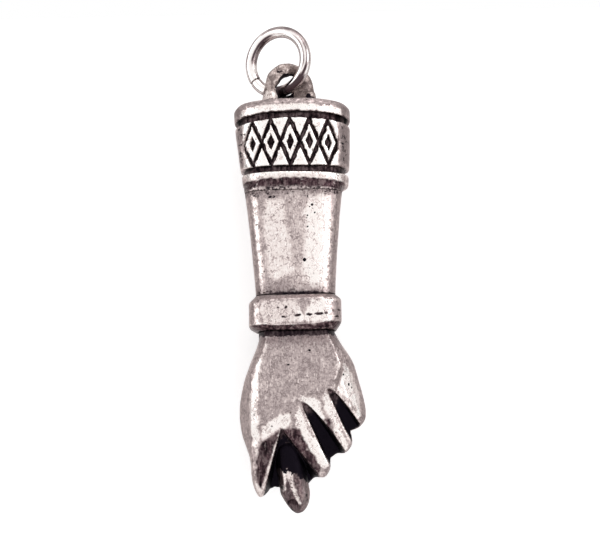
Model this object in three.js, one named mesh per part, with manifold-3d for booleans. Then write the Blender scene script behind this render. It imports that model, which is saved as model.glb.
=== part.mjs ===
// Figa pendant in oxidised silver: a cuffed forearm and fist that hangs from a jump ring.
// Millimetres, +Z up. The origin is the inside of the jump ring at its top, where a chain bears.
// The back of the hand and the frieze face -Y, and +X is to the viewer's right.
import * as THREE from "three";
import { ConvexGeometry } from "three/addons/geometries/ConvexGeometry.js";
import { mergeVertices } from "three/addons/utils/BufferGeometryUtils.js";
import Module from "manifold-3d";

// Jump ring
const ringWireRadius = 0.54;
const ringInnerRadius = 2.6;
const ringYaw = THREE.MathUtils.degToRad(27); // right side towards the viewer
const ringSeamGap = 0.08; // slit between the butted wire ends
const ringSeamAngle = THREE.MathUtils.degToRad(-55); // seen from the lowest point, left is negative

// Suspension eye
const eyeWireWidth = 0.62; // half width of the flattened wire, across the hole
const eyeWireDepth = 0.48; // half thickness, along the hole
const eyeYaw = THREE.MathUtils.degToRad(28); // right side away from the viewer
const eyeLegLength = 1.77;
const eyeFootRadiusTop = 0.66;
const eyeFootRadiusLow = 1;
const eyeFootHeight = 1.7;
const ringPlay = 0.5; // between ring wire and eye wire, measured as if the ring were straight
const ringLift = 0.23; // the ring wire passes this far above the middle of the arch
const ringSlip = THREE.MathUtils.degToRad(24); // how far round the ring the eye sits, from its lowest point
const eyeForward = 1.2; // the eye stands this far in front of the cuff's middle
const eyeAside = -0.15; // and this far to the right of it

// Cuff
const cuffHalfWidth = 5.88;
const cuffHalfDepth = 4.3;
const cuffTaper = 0.7; // half width lost from the top plate to the forearm
const cuffTaperEase = 1.5; // 1 is a straight taper, more leaves the loss to the lower end
const cuffLean = 0.031; // shift to the right per millimetre down
const topRimHeight = 1.05;
const topRimChamfer = 0.4;
const topRimBow = 0.45; // the rim's lower edge drops this far towards its sides
const grooveDepth = 0.6;
const upperGrooveHeight = 0.65;
const friezeHeight = 4.65;
const lowerGrooveHeight = 0.52;
const baseRimHeight = 0.8;
const baseCoveHeight = 1.08;
const baseCoveRise = 0.45; // where the cove bends, as a share of its height
const baseCoveFlare = 0.3; // and of its width
const baseTilt = -0.02; // rise per millimetre towards +X
const baseRimBow = 0.3; // the rim's lower edge drops this far towards its sides
const edgeSoftening = 0.1; // inset of the rims' and drum's edges
const cuffSquareness = 2.7; // exponent of the rounded outline: 2 is an ellipse

// Sunk panel and its raised ornament
const panelHalfWidth = 4.75;
const panelShift = -0.2;
const panelSink = 0.5;
const panelBorder = 0.12; // plain strip above and below the panel
const motifCount = 5;
const motifGap = 0.3;
const motifEyeShare = 0.38; // sunk lozenge inside a motif, as a share of the motif

// Forearm
const armHalfWidthTop = 4.85;
const armHalfWidthLow = 3.95;
const armHalfDepthTop = 3.7;
const armHalfDepthLow = 3.25;
const armLength = 10.25;
const armSquareness = 4;
const armTaperEase = 1.3; // more than 1 takes the taper early

// Wrist band
const bandHalfWidth = 4.58;
const bandShift = -0.08;
const bandHalfDepth = 3.9;
const bandBevel = 0.6;
const bandFaceHeight = 2.3;
const bandTilt = 0.03; // rise per millimetre towards +X
const bandSquareness = 4.5;

// Fist: its tables further down are in hundredths of its width
const fistWidth = 12.7;
const fistHalfDepth = 3.5;
const palmSquareness = 3;
const handBevelWidth = 0.78; // the bevels on both sides of the back of the hand
const handBevelSlope = 0.85;
const bevelSpaceShare = 0.7; // the most of the room beside the back's flat face that a bevel may take
const rightSideShare = 0.4; // how far forward the side's edge stands at the wrist, as a share of the front
const rightSideLength = 8.2; // below this the side runs back to the middle plane
const rightSideLeast = 0.02; // the share that stays there
const knuckleFrontY = -3.32; // where the fingers start to fall away from the back of the hand
const creaseHalfWidth = 0.35;
const creaseFloorY = 2.3;
const thumbRadius = 1.45;
const thumbLength = 5.6;
const thumbTipLength = 2.4; // the rounding of the tip runs this far up
const thumbTipTurn = THREE.MathUtils.degToRad(8);
const thumbTip = new THREE.Vector3(-0.15, -0.6, -17.77);

// Segments round a circle or an outline
const wireSides = 12;
const loftSides = 64;
const palmSides = 20;

const silver = { color: 0xb2a6a6, roughness: 0.32, metalness: 1 };
const brightWire = { color: 0xe4e2e0, roughness: 0.15, metalness: 1 };
const darkSilver = { color: 0x8f8584, roughness: 0.45, metalness: 1 };

const wasm = await Module();
wasm.setup();

// Booleans
function toSolid(geometry) {
  const bare = geometry.clone();
  bare.deleteAttribute("normal");
  bare.deleteAttribute("uv");
  const merged = mergeVertices(bare, 1e-5);
  return new wasm.Manifold(
    new wasm.Mesh({
      numProp: 3,
      vertProperties: new Float32Array(merged.attributes.position.array),
      triVerts: new Uint32Array(merged.index.array),
    }),
  );
}

function toGeometry(solid) {
  const mesh = solid.getMesh();
  const geometry = new THREE.BufferGeometry();
  geometry.setAttribute("position", new THREE.BufferAttribute(mesh.vertProperties, 3));
  geometry.setIndex(new THREE.BufferAttribute(mesh.triVerts, 1));
  const flat = geometry.toNonIndexed();
  flat.computeVertexNormals();
  return flat;
}

// A rounded outline between an ellipse and a rectangle, as a point at an angle.
function roundedPoint(angle, halfWidth, halfDepth, squareness) {
  const c = Math.cos(angle);
  const s = Math.sin(angle);
  return [
    halfWidth * Math.sign(c) * Math.abs(c) ** (2 / squareness),
    halfDepth * Math.sign(s) * Math.abs(s) ** (2 / squareness),
  ];
}

// Skins a closed solid over rings of points with as many points each, given from the bottom up.
function skin(rings) {
  const sides = rings[0].length;
  const index = [];
  for (let k = 0; k + 1 < rings.length; k++) {
    for (let i = 0; i < sides; i++) {
      const a = k * sides + i;
      const b = k * sides + ((i + 1) % sides);
      index.push(a, b, b + sides, a, b + sides, a + sides);
    }
  }
  const top = (rings.length - 1) * sides;
  for (let i = 1; i + 1 < sides; i++) {
    index.push(0, i + 1, i, top, top + i, top + i + 1);
  }
  const geometry = new THREE.BufferGeometry();
  geometry.setAttribute("position", new THREE.Float32BufferAttribute(rings.flat(2), 3));
  geometry.setIndex(index);
  geometry.computeVertexNormals();
  return geometry;
}

// A solid over rounded outlines. bow drops the sides of a level and tilt raises its +X side, both without
// touching its middle.
function loft(levels, squareness) {
  const rings = levels.map((level) => {
    const ring = [];
    for (let i = 0; i < loftSides; i++) {
      const angle = (i / loftSides) * 2 * Math.PI;
      const shape = level.squareness ?? squareness;
      const [x, y] = roundedPoint(angle, level.halfWidth, level.halfDepth, shape);
      const bow = (level.bow ?? 0) * (x / level.halfWidth) ** 2;
      const tilt = (level.tilt ?? 0) * x;
      ring.push([x + (level.x ?? 0), y, level.z - bow + tilt]);
    }
    return ring;
  });
  return skin(rings);
}

// An outline drawn in X and Z, pushed from yBack towards the viewer to yFront.
function frontPrism(shape, yFront, yBack) {
  const geometry = new THREE.ExtrudeGeometry(shape, {
    depth: yBack - yFront,
    bevelEnabled: false,
    curveSegments: 2,
  });
  geometry.rotateX(Math.PI / 2);
  geometry.translate(0, yBack, 0);
  return geometry;
}

function polygon(points) {
  return new THREE.Shape(points.map(([x, z]) => new THREE.Vector2(x, z)));
}

// Where each piece lies, from the ring down
const ringRadius = ringInnerRadius + ringWireRadius;
const ringCentreZ = -ringInnerRadius;
const eyeReach = Math.hypot(
  eyeWireWidth * Math.sin(ringYaw + eyeYaw),
  eyeWireDepth * Math.cos(ringYaw + eyeYaw),
);
const eyeSpan =
  (ringWireRadius + eyeReach + ringPlay) / (Math.cos(ringSlip) * Math.sin(ringYaw + eyeYaw));
const eyeCentre = new THREE.Vector3(
  ringRadius * Math.sin(ringSlip) * Math.cos(ringYaw),
  -ringRadius * Math.sin(ringSlip) * Math.sin(ringYaw),
  ringCentreZ - ringRadius * Math.cos(ringSlip) - ringLift,
);
const axisX = eyeCentre.x - eyeAside;
const axisY = eyeCentre.y + eyeForward;
const cuffTopZ = eyeCentre.z - eyeLegLength;
const friezeTopZ = cuffTopZ - topRimHeight;
const panelTopZ = friezeTopZ - upperGrooveHeight;
const panelLowZ = panelTopZ - friezeHeight;
const baseTopZ = panelLowZ - lowerGrooveHeight;
const armTopZ = baseTopZ - baseRimHeight - baseCoveHeight;
const bandTopZ = armTopZ - armLength;
const fistTopZ = bandTopZ - bandFaceHeight - 2 * bandBevel;

// Half width of the cuff at a height, on its proud surface
function cuffWidthAt(z) {
  return cuffHalfWidth - cuffTaper * ((cuffTopZ - z) / (cuffTopZ - armTopZ)) ** cuffTaperEase;
}

function cuffLevel(z, inset = 0, extra = {}) {
  const halfWidth = cuffWidthAt(z);
  const halfDepth = (halfWidth * cuffHalfDepth) / cuffHalfWidth;
  const x = cuffLean * (cuffTopZ - z);
  return { z, x, halfWidth: halfWidth - inset, halfDepth: halfDepth - inset, ...extra };
}

// Jump ring: a round wire bent to a circle, with a fine slit where its ends butt
class RingArc extends THREE.Curve {
  getPoint(t) {
    const slit = ringSeamGap / ringRadius;
    const angle = ringSeamAngle + slit / 2 + t * (2 * Math.PI - slit);
    return new THREE.Vector3(ringRadius * Math.sin(angle), 0, -ringRadius * Math.cos(angle));
  }
}

function jumpRing() {
  const section = new THREE.Shape();
  section.absarc(0, 0, ringWireRadius, 0, 2 * Math.PI);
  const geometry = new THREE.ExtrudeGeometry(section, {
    extrudePath: new RingArc(),
    steps: 48,
    curveSegments: wireSides / 2,
    bevelEnabled: false,
  });
  geometry.rotateZ(-ringYaw);
  geometry.translate(0, 0, ringCentreZ);
  return geometry;
}

// Suspension eye: an arch of wire on two soldered feet, cut flat on the cuff's top plate
class EyeArch extends THREE.Curve {
  getPoint(t) {
    const leg = eyeLegLength + eyeWireDepth;
    const arc = Math.PI * eyeSpan;
    const run = t * (2 * leg + arc);
    if (run < leg) return new THREE.Vector3(-eyeSpan, 0, run - leg);
    if (run > leg + arc) return new THREE.Vector3(eyeSpan, 0, leg + arc - run);
    const angle = (run - leg) / eyeSpan;
    return new THREE.Vector3(-eyeSpan * Math.cos(angle), 0, eyeSpan * Math.sin(angle));
  }
}

function suspensionEye() {
  const section = new THREE.Shape();
  section.absellipse(0, 0, eyeWireDepth, eyeWireWidth, 0, 2 * Math.PI);
  const arch = new THREE.ExtrudeGeometry(section, {
    extrudePath: new EyeArch(),
    steps: 26,
    curveSegments: wireSides / 2,
    bevelEnabled: false,
  });
  let solid = toSolid(arch);
  for (const side of [-1, 1]) {
    const [top, low] = [eyeFootRadiusTop, eyeFootRadiusLow];
    const foot = new THREE.CylinderGeometry(top, low, eyeFootHeight, wireSides);
    foot.rotateX(Math.PI / 2);
    foot.translate(side * eyeSpan, 0, eyeFootHeight / 2 - eyeLegLength);
    solid = solid.add(toSolid(foot));
  }
  const below = new THREE.BoxGeometry(4 * eyeSpan, 4 * eyeSpan, 2 * eyeLegLength);
  below.translate(0, 0, -2 * eyeLegLength);
  const geometry = toGeometry(solid.subtract(toSolid(below)));
  geometry.rotateZ(eyeYaw);
  geometry.translate(eyeCentre.x, eyeCentre.y, eyeCentre.z);
  return geometry;
}

// Cuff top: plate and upper rim, chamfered above and bowed along its lower edge
function cuffTop() {
  const bowed = { bow: topRimBow };
  return loft(
    [
      cuffLevel(friezeTopZ, grooveDepth),
      cuffLevel(friezeTopZ, edgeSoftening, bowed),
      cuffLevel(friezeTopZ + edgeSoftening, 0, bowed),
      cuffLevel(cuffTopZ - topRimChamfer, 0),
      cuffLevel(cuffTopZ, topRimChamfer),
    ],
    cuffSquareness,
  );
}

// Cuff frieze: a drum between two necks, with a panel sunk in its front and an ornament left standing in it
function panelTopAt(x) {
  return panelTopZ - panelBorder - topRimBow * (x / cuffHalfWidth) ** 2;
}

function panelWindow() {
  const low = panelLowZ + panelBorder;
  const edge = panelTopAt(panelHalfWidth);
  const window = new THREE.Shape();
  window.moveTo(panelShift - panelHalfWidth, low);
  window.lineTo(panelShift + panelHalfWidth, low);
  window.lineTo(panelShift + panelHalfWidth, edge);
  window.quadraticCurveTo(panelShift, 2 * panelTopAt(0) - edge, panelShift - panelHalfWidth, edge);
  window.closePath();
  return window;
}

// Lozenges in a row with a small sunk lozenge in each, and triangles that fill the gaps above and below
function motifAt(x) {
  const low = panelLowZ + panelBorder;
  const top = panelTopAt(x);
  const halfPitch = panelHalfWidth / motifCount;
  const halfHeight = (top - low) / 2;
  const edge = Math.hypot(halfPitch, halfHeight);
  return {
    middle: (low + top) / 2,
    halfHeight,
    dx: halfPitch - (motifGap / 2) * (edge / halfHeight),
    dz: halfHeight - (motifGap / 2) * (edge / halfPitch),
  };
}

function ornamentShapes() {
  const shapes = [];
  const halfPitch = panelHalfWidth / motifCount;
  for (let i = 0; i < motifCount; i++) {
    const x = panelShift - panelHalfWidth + (2 * i + 1) * halfPitch;
    const { middle, dx, dz } = motifAt(x);
    const lozenge = lozengeShape(x, middle, dx, dz);
    lozenge.holes.push(lozengeShape(x, middle, dx * motifEyeShare, dz * motifEyeShare));
    shapes.push(lozenge);
  }
  for (let i = 0; i <= motifCount; i++) {
    const x = panelShift - panelHalfWidth + 2 * i * halfPitch;
    const { middle, halfHeight, dx, dz } = motifAt(x);
    for (const up of [1, -1]) {
      const base = middle + up * (halfHeight + panelBorder);
      const tip = middle + up * (halfHeight - dz);
      const corners = [
        [x - dx, base],
        [x + dx, base],
        [x, tip],
      ];
      shapes.push(polygon(corners));
    }
  }
  return shapes;
}

function lozengeShape(x, z, dx, dz) {
  return polygon([
    [x, z - dz],
    [x + dx, z],
    [x, z + dz],
    [x - dx, z],
  ]);
}

function cuffFrieze() {
  const bowed = { bow: topRimBow };
  const drum = toSolid(
    loft(
      [
        cuffLevel(baseTopZ, grooveDepth),
        cuffLevel(panelLowZ, grooveDepth),
        cuffLevel(panelLowZ, edgeSoftening),
        cuffLevel(panelLowZ + edgeSoftening, 0),
        cuffLevel(panelTopZ - edgeSoftening, 0, bowed),
        cuffLevel(panelTopZ, edgeSoftening, bowed),
        cuffLevel(panelTopZ, grooveDepth, bowed),
        cuffLevel(friezeTopZ, grooveDepth),
      ],
      cuffSquareness,
    ),
  );
  const ground = toSolid(
    loft([cuffLevel(baseTopZ, panelSink), cuffLevel(friezeTopZ, panelSink)], cuffSquareness),
  );
  const front = -2 * cuffHalfDepth;
  let sunk = toSolid(frontPrism(panelWindow(), front, 0)).subtract(ground);
  for (const shape of ornamentShapes()) {
    sunk = sunk.subtract(toSolid(frontPrism(shape, 2 * front, 1)));
  }
  return toGeometry(drum.subtract(sunk));
}

// Cuff base: lower rim, and under it a hollowed slope in to the forearm
function cuffBase() {
  const rimLowZ = armTopZ + baseCoveHeight;
  const tilted = { tilt: baseTilt };
  const bowed = { tilt: baseTilt, bow: baseRimBow };
  const rim = cuffLevel(rimLowZ, edgeSoftening, bowed);
  const cove = {
    z: armTopZ + baseCoveRise * baseCoveHeight,
    halfWidth: armHalfWidthTop + baseCoveFlare * (rim.halfWidth - armHalfWidthTop),
    halfDepth: armHalfDepthTop + baseCoveFlare * (rim.halfDepth - armHalfDepthTop),
    squareness: (armSquareness + cuffSquareness) / 2,
  };
  return loft(
    [
      armLevel(armTopZ, 0),
      cove,
      rim,
      cuffLevel(rimLowZ + edgeSoftening, 0, bowed),
      cuffLevel(baseTopZ - 2 * edgeSoftening, 0, tilted),
      cuffLevel(baseTopZ - edgeSoftening, edgeSoftening, tilted),
      cuffLevel(baseTopZ, grooveDepth),
    ],
    cuffSquareness,
  );
}

// Forearm: tapers faster below the cuff than above the wrist
function armLevel(z, taper) {
  const share = 1 - (1 - taper) ** armTaperEase;
  return {
    z,
    halfWidth: armHalfWidthTop + share * (armHalfWidthLow - armHalfWidthTop),
    halfDepth: armHalfDepthTop + share * (armHalfDepthLow - armHalfDepthTop),
    squareness: armSquareness,
  };
}

function forearm() {
  const levels = [1, 0.75, 0.5, 0.25, 0].map((t) => armLevel(armTopZ - t * armLength, t));
  return loft(levels, armSquareness);
}

// Wrist band: bevelled above and below, tilted a little, flat where it meets the arm and the fist
function bandLevel(z, inset, tilt) {
  const x = tilt === 0 ? 0 : bandShift;
  return { z, x, halfWidth: bandHalfWidth - inset, halfDepth: bandHalfDepth - inset, tilt };
}

function wristBand() {
  const faceTopZ = bandTopZ - bandBevel;
  const faceLowZ = faceTopZ - bandFaceHeight;
  const inset = bandHalfWidth - armHalfWidthLow;
  return loft(
    [
      bandLevel(fistTopZ, inset, 0),
      bandLevel(faceLowZ - edgeSoftening, edgeSoftening, bandTilt),
      bandLevel(faceLowZ + edgeSoftening, 0, bandTilt),
      bandLevel(faceTopZ - edgeSoftening, 0, bandTilt),
      bandLevel(faceTopZ + edgeSoftening, edgeSoftening, bandTilt),
      bandLevel(bandTopZ, inset, 0),
    ],
    bandSquareness,
  );
}

// Fist, in its own frame: x = 0 on the arm's axis, z = 0 at the wrist, back of the hand towards -Y.
// The tables here are in hundredths of fistWidth.
const hundredth = fistWidth / 100;
const inFull = (points) => points.map((point) => point.map((share) => share * hundredth));

const fistLevels = [
  { z: -127.6, left: -37, bevelLeft: -33.4, bevelRight: 47, right: 43.3, front: -26.9, palm: 18.5 },
  { z: -118.1, left: -38.2, bevelLeft: -32.7, bevelRight: 46.6, right: 47.2, front: -26.8, palm: 23.2 },
  { z: -102.4, left: -40.2, bevelLeft: -31.4, bevelRight: 46, right: 50.4, front: -26.6, palm: 26 },
  { z: -82.7, left: -44.1, bevelLeft: -30.4, bevelRight: 45.2, right: 54.3, front: -26.4, palm: 27.7 },
  { z: -65.4, left: -46.1, bevelLeft: -30.2, bevelRight: 41.8, right: 53.9, front: -26.2, palm: 28.2 },
  { z: -49.6, left: -44.5, bevelLeft: -30.2, bevelRight: 37.4, right: 51.6, front: -26, palm: 28 },
  { z: -33.9, left: -39.8, bevelLeft: -30.2, bevelRight: 33.9, right: 46.9, front: -25.8, palm: 27.2 },
  { z: -18.9, left: -33.9, bevelLeft: -27.8, bevelRight: 30.1, right: 40.2, front: -25.6, palm: 25.6 },
  { z: -7.9, left: -29.8, bevelLeft: -26.5, bevelRight: 27.6, right: 33.5, front: -25, palm: 24 },
  { z: 0, left: -30.1, bevelLeft: -26, bevelRight: 26, right: 29.5, front: -23.6, palm: 24 },
];

// One level: the rounded palm from right to left, then the bevelled back of the hand from left to right
function fistRing(level) {
  const [z, left, bevelLeft, bevelRight, right, front, palm] = [
    level.z,
    level.left,
    level.bevelLeft,
    level.bevelRight,
    level.right,
    level.front,
    level.palm,
  ].map((share) => share * hundredth);
  const ring = [];
  for (let i = 0; i <= palmSides; i++) {
    const angle = (i / palmSides) * Math.PI;
    const [x, y] = roundedPoint(angle, (right - left) / 2, palm, palmSquareness);
    ring.push([x + (left + right) / 2, y]);
  }
  const leftWidth = Math.min(handBevelWidth, bevelSpaceShare * (bevelLeft - left));
  const rightWidth = Math.min(handBevelWidth, bevelSpaceShare * (right - bevelRight));
  ring.push([bevelLeft - leftWidth, front + handBevelSlope * leftWidth]);
  ring.push([bevelLeft, front]);
  ring.push([bevelRight, front]);
  ring.push([bevelRight + rightWidth, front + handBevelSlope * rightWidth]);
  const sideShare = rightSideShare * Math.max(0, 1 + z / rightSideLength);
  ring.push([right, Math.max(rightSideLeast, sideShare) * front]);
  return ring.map(([x, y]) => [x, y, z]);
}

const fistRuns = [
  [
    [-29.9, -7.1],
    [-37.4, -26],
    [-42.5, -40.9],
    [-46.5, -62.2],
    [-44.5, -78],
    [-42.1, -85],
  ],
  [
    [-38.2, -97.6],
    [-36.6, -115],
    [-32.3, -126],
    [-27.6, -126.4],
    [-21.7, -121.3],
  ],
  [
    [7.4, -118.1],
    [12.6, -113.4],
    [19.7, -113],
    [24.4, -106.3],
    [25.2, -98.4],
  ],
  [
    [29.5, -95.3],
    [36.2, -94.5],
    [41.7, -87.4],
    [40.9, -78],
  ],
  [
    [48, -74.8],
    [52.8, -67.7],
    [53.1, -57.5],
    [49.6, -41.7],
    [43.3, -23.2],
    [34.3, -8.7],
    [29.5, 0],
  ],
];
const wristCorners = [
  [-30.5, 3.9],
  [29.5, 3.9],
];

// The fist's outline seen from the back of the hand, finger by finger
function fistOutline() {
  const [leftCorner, rightCorner] = inFull(wristCorners);
  const outline = new THREE.Shape();
  outline.moveTo(...leftCorner);
  fistRuns.forEach((run, i) => {
    const points = inFull(run);
    if (i === 2) outline.lineTo(...points.shift());
    outline.splineThru(points.map(([x, z]) => new THREE.Vector2(x, z)));
  });
  outline.lineTo(...rightCorner);
  outline.closePath();
  return outline;
}

// A groove between two fingers: it starts at its apex on the knuckles and is widest at its mouth, past the
// fingertips. side is -1 for the back of the hand and 1 for the palm.
function fingerGroove({ apex, left, right, floorY, floorShare, side = -1 }) {
  const outside = side * 2 * fistHalfDepth;
  const surface = side * fistHalfDepth;
  const [start, mouthLeft, mouthRight] = inFull([apex, left, right]);
  const mix = (share) => mouthLeft.map((value, i) => value + share * (mouthRight[i] - value));
  const [floorLeft, floorRight] = [mix(0.5 - floorShare / 2), mix(0.5 + floorShare / 2)];
  const points = [
    [...start, outside],
    [...start, surface],
    [...mouthLeft, outside],
    [...mouthLeft, surface],
    [...mouthRight, outside],
    [...mouthRight, surface],
    [...floorLeft, floorY * hundredth],
    [...floorRight, floorY * hundredth],
  ];
  return new ConvexGeometry(points.map(([x, z, y]) => new THREE.Vector3(x, y, z)));
}

const fingerGrooves = [
  {
    apex: [-11.8, -70.1],
    left: [-35.4, -133.1],
    right: [23.6, -116.5],
    floorY: -16.1,
    floorShare: 0.5,
  },
  {
    apex: [-13.1, -74.8],
    left: [-26.8, -128.3],
    right: [17.3, -118.1],
    floorY: 3.1,
    floorShare: 0.85,
  },
  {
    apex: [2.2, -54.3],
    left: [25.2, -103.1],
    right: [38.2, -96.9],
    floorY: -3.9,
    floorShare: 0.5,
  },
  {
    apex: [22, -44.5],
    left: [41.7, -83.5],
    right: [51.2, -78],
    floorY: -7.1,
    floorShare: 0.5,
  },
  {
    apex: [-15, -74.6],
    left: [-26.4, -131.2],
    right: [-12.6, -131.2],
    floorY: 15.7,
    floorShare: 0.3,
    side: 1,
  },
  {
    apex: [5.5, -61.4],
    left: [19.6, -107.6],
    right: [33.4, -104.4],
    floorY: 15.7,
    floorShare: 0.3,
    side: 1,
  },
  {
    apex: [24.4, -49.6],
    left: [36.9, -86.6],
    right: [49.9, -82.7],
    floorY: 15.7,
    floorShare: 0.3,
    side: 1,
  },
];

// The line of the knuckles, and how the back of the fingers falls away below it: a short steep facet, then a
// long flat one. Pairs of distance below the line and depth.
const knuckleLine = [
  [-51.2, -81.1],
  [-29.9, -68.5],
  [-7.5, -57.1],
  [0.8, -50.8],
  [20.5, -44.1],
  [28.3, -38.6],
  [34.6, -22],
  [56.7, -15],
];
const knuckleProfile = [
  [0, 0],
  [12.2, 5.1],
  [102.4, 14.2],
];

function knuckleCut([x0, z0], [x1, z1]) {
  const points = [];
  for (const [x, z] of [
    [x0, z0],
    [x1, z1],
  ]) {
    for (const [below, depth] of inFull(knuckleProfile)) {
      points.push(new THREE.Vector3(x, knuckleFrontY + depth, z - below));
      points.push(new THREE.Vector3(x, -2 * fistHalfDepth, z - below));
    }
  }
  return new ConvexGeometry(points);
}

// Lines along which the hand is cut back to a slope: x, z and the height off the hand's middle plane that the
// slope is counted from. One runs past the fingers' ends on the palm side, the other down the outer edge of the
// index finger on the back of the hand.
const fingerEnds = [
  [-48, -102.4, -1.6],
  [-40.9, -125.2, -2.4],
  [-25.2, -127.6, -3.1],
  [-11.8, -122, -3.1],
  [9.4, -118.1, -3.1],
  [22.8, -111, -3.1],
  [27.6, -99.2, -2],
  [38.6, -92.9, -0.8],
  [44.1, -79.5, 0],
  [52, -71.7, 1.2],
  [55.1, -55.1, 1.2],
];
const indexEdge = [
  [-30.2, -75.6, 23.4],
  [-30.5, -85, 20.9],
  [-31.1, -98.4, 19.7],
  [-32.3, -115, 18.1],
  [-33.5, -129.1, 16.5],
];
// Two slopes for each line, as pairs of distance from it, in towards the hand, and height
const fingerEndSlopes = [
  [
    [-4.7, 5.5],
    [8.7, 24],
  ],
  [
    [1.6, 18.5],
    [18.1, 28],
  ],
];
const indexEdgeSlopes = [
  [
    [-17.3, -14.7],
    [2.4, 2],
  ],
  [
    [-17.3, -34.3],
    [0, 10.8],
  ],
];

// side is -1 for the back of the hand and 1 for the palm.
function slopeCut(slope, side) {
  return ([x0, z0, height0], [x1, z1, height1]) => {
    const across = new THREE.Vector2(z0 - z1, x1 - x0).normalize();
    const points = [];
    for (const [x, z, above] of [
      [x0, z0, height0],
      [x1, z1, height1],
    ]) {
      for (const [distance, height] of inFull(slope)) {
        for (const y of [above + height, 2 * fistHalfDepth]) {
          points.push(new THREE.Vector3(x + distance * across.x, side * y, z + distance * across.y));
        }
      }
    }
    return new ConvexGeometry(points);
  };
}

// Thumb: a finger with a round tip, pushed out between the index and middle fingers
function thumb() {
  const profile = [];
  const steps = 6;
  for (let i = 0; i <= steps; i++) {
    const angle = ((i / steps) * Math.PI) / 2;
    const along = thumbTipLength * (1 - Math.cos(angle));
    profile.push(new THREE.Vector2(thumbRadius * Math.sin(angle), along));
  }
  profile.push(new THREE.Vector2(thumbRadius, thumbLength));
  profile.push(new THREE.Vector2(0, thumbLength));
  const geometry = new THREE.LatheGeometry(profile, wireSides);
  geometry.rotateX(Math.PI / 2);
  geometry.rotateY(-thumbTipTurn);
  geometry.translate(thumbTip.x, thumbTip.y, thumbTip.z);
  return geometry;
}

// Ball of the thumb on the palm side, from the wrist down to where the index finger closes over it
const thumbBallStations = [
  { centre: [-10.2, 7.1, -18.1], radius: 17.3 },
  { centre: [-20.5, 9.4, -40.9], radius: 20.5 },
  { centre: [-25.2, 9.4, -62.2], radius: 18.1 },
];

function thumbBall() {
  const points = [];
  for (const { centre, radius } of thumbBallStations) {
    const ball = new THREE.IcosahedronGeometry(radius * hundredth, 3).getAttribute("position");
    const [middle] = inFull([centre]);
    for (let i = 0; i < ball.count; i++) {
      const point = new THREE.Vector3().fromBufferAttribute(ball, i);
      points.push(point.add(new THREE.Vector3(...middle)));
    }
  }
  return new ConvexGeometry(points);
}

// The crease across the palm that the fingertips press into, from the index finger to the little finger
const palmCrease = [
  [-44.1, -81.1],
  [-15, -76.4],
  [5.5, -63],
  [24.4, -51.2],
  [52.8, -40.9],
];

function creaseCut([x0, z0], [x1, z1]) {
  const across = new THREE.Vector2(z0 - z1, x1 - x0).setLength(creaseHalfWidth);
  const points = [];
  for (const [x, z] of [
    [x0, z0],
    [x1, z1],
  ]) {
    points.push(new THREE.Vector3(x, creaseFloorY, z));
    for (const side of [-1, 1]) {
      for (const y of [fistHalfDepth, 2 * fistHalfDepth]) {
        points.push(new THREE.Vector3(x + side * across.x, y, z + side * across.y));
      }
    }
  }
  return new ConvexGeometry(points);
}

function fist() {
  const outline = toSolid(frontPrism(fistOutline(), -2 * fistHalfDepth, 2 * fistHalfDepth));
  let solid = toSolid(skin(fistLevels.map(fistRing))).add(toSolid(thumbBall())).intersect(outline);
  for (const groove of fingerGrooves) solid = solid.subtract(toSolid(fingerGroove(groove)));
  for (const [line, cut] of [
    [knuckleLine, knuckleCut],
    ...fingerEndSlopes.map((slope) => [fingerEnds, slopeCut(slope, 1)]),
    ...indexEdgeSlopes.map((slope) => [indexEdge, slopeCut(slope, -1)]),
    [palmCrease, creaseCut],
  ]) {
    const points = inFull(line);
    for (let i = 1; i < points.length; i++) {
      solid = solid.subtract(toSolid(cut(points[i - 1], points[i])));
    }
  }
  return toGeometry(solid.add(toSolid(thumb())));
}

// Assembly
const pendant = new THREE.Group();
pendant.name = "figa_pendant";

function addPiece(name, geometry, look, position = [0, 0, 0]) {
  const mesh = new THREE.Mesh(geometry, new THREE.MeshStandardMaterial(look));
  mesh.name = name;
  mesh.position.set(...position);
  pendant.add(mesh);
}

addPiece("jump_ring", jumpRing(), brightWire);
addPiece("suspension_eye", suspensionEye(), darkSilver);
addPiece("cuff_top", cuffTop(), silver, [axisX, axisY, 0]);
addPiece("cuff_frieze", cuffFrieze(), silver, [axisX, axisY, 0]);
addPiece("cuff_base", cuffBase(), silver, [axisX, axisY, 0]);
addPiece("forearm", forearm(), silver, [axisX, axisY, 0]);
addPiece("wrist_band", wristBand(), silver, [axisX, axisY, 0]);
addPiece("fist", fist(), silver, [axisX, axisY, fistTopZ]);

export default pendant;
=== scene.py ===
import math
from functools import partial

import bmesh
import bpy
import numpy as np
from mathutils import Matrix, Vector, noise
from mathutils.bvhtree import BVHTree


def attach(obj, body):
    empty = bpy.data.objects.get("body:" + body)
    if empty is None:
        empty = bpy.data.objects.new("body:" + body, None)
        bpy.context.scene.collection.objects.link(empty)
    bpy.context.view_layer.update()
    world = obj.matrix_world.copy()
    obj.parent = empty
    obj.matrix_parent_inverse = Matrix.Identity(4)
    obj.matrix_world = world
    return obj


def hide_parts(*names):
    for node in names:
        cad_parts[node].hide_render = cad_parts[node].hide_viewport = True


# Figa pendant: cast and blackened silver, polished again on its high places.
# Sizes in this file are millimetres unless a line says otherwise; the scene itself is in metres.
mm = 0.001
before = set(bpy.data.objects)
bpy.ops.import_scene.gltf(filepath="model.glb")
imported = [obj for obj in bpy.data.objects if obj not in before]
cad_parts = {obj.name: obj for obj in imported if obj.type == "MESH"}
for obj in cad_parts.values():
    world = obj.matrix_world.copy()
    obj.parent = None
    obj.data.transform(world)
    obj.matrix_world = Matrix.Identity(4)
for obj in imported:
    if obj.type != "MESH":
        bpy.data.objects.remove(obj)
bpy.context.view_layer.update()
scene = bpy.context.scene
scene.view_settings.view_transform = "Standard"
print("stage: frame loaded")


def addObject(name, data):
    made = bpy.data.objects.new(name, data)
    scene.collection.objects.link(made)
    return made


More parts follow.
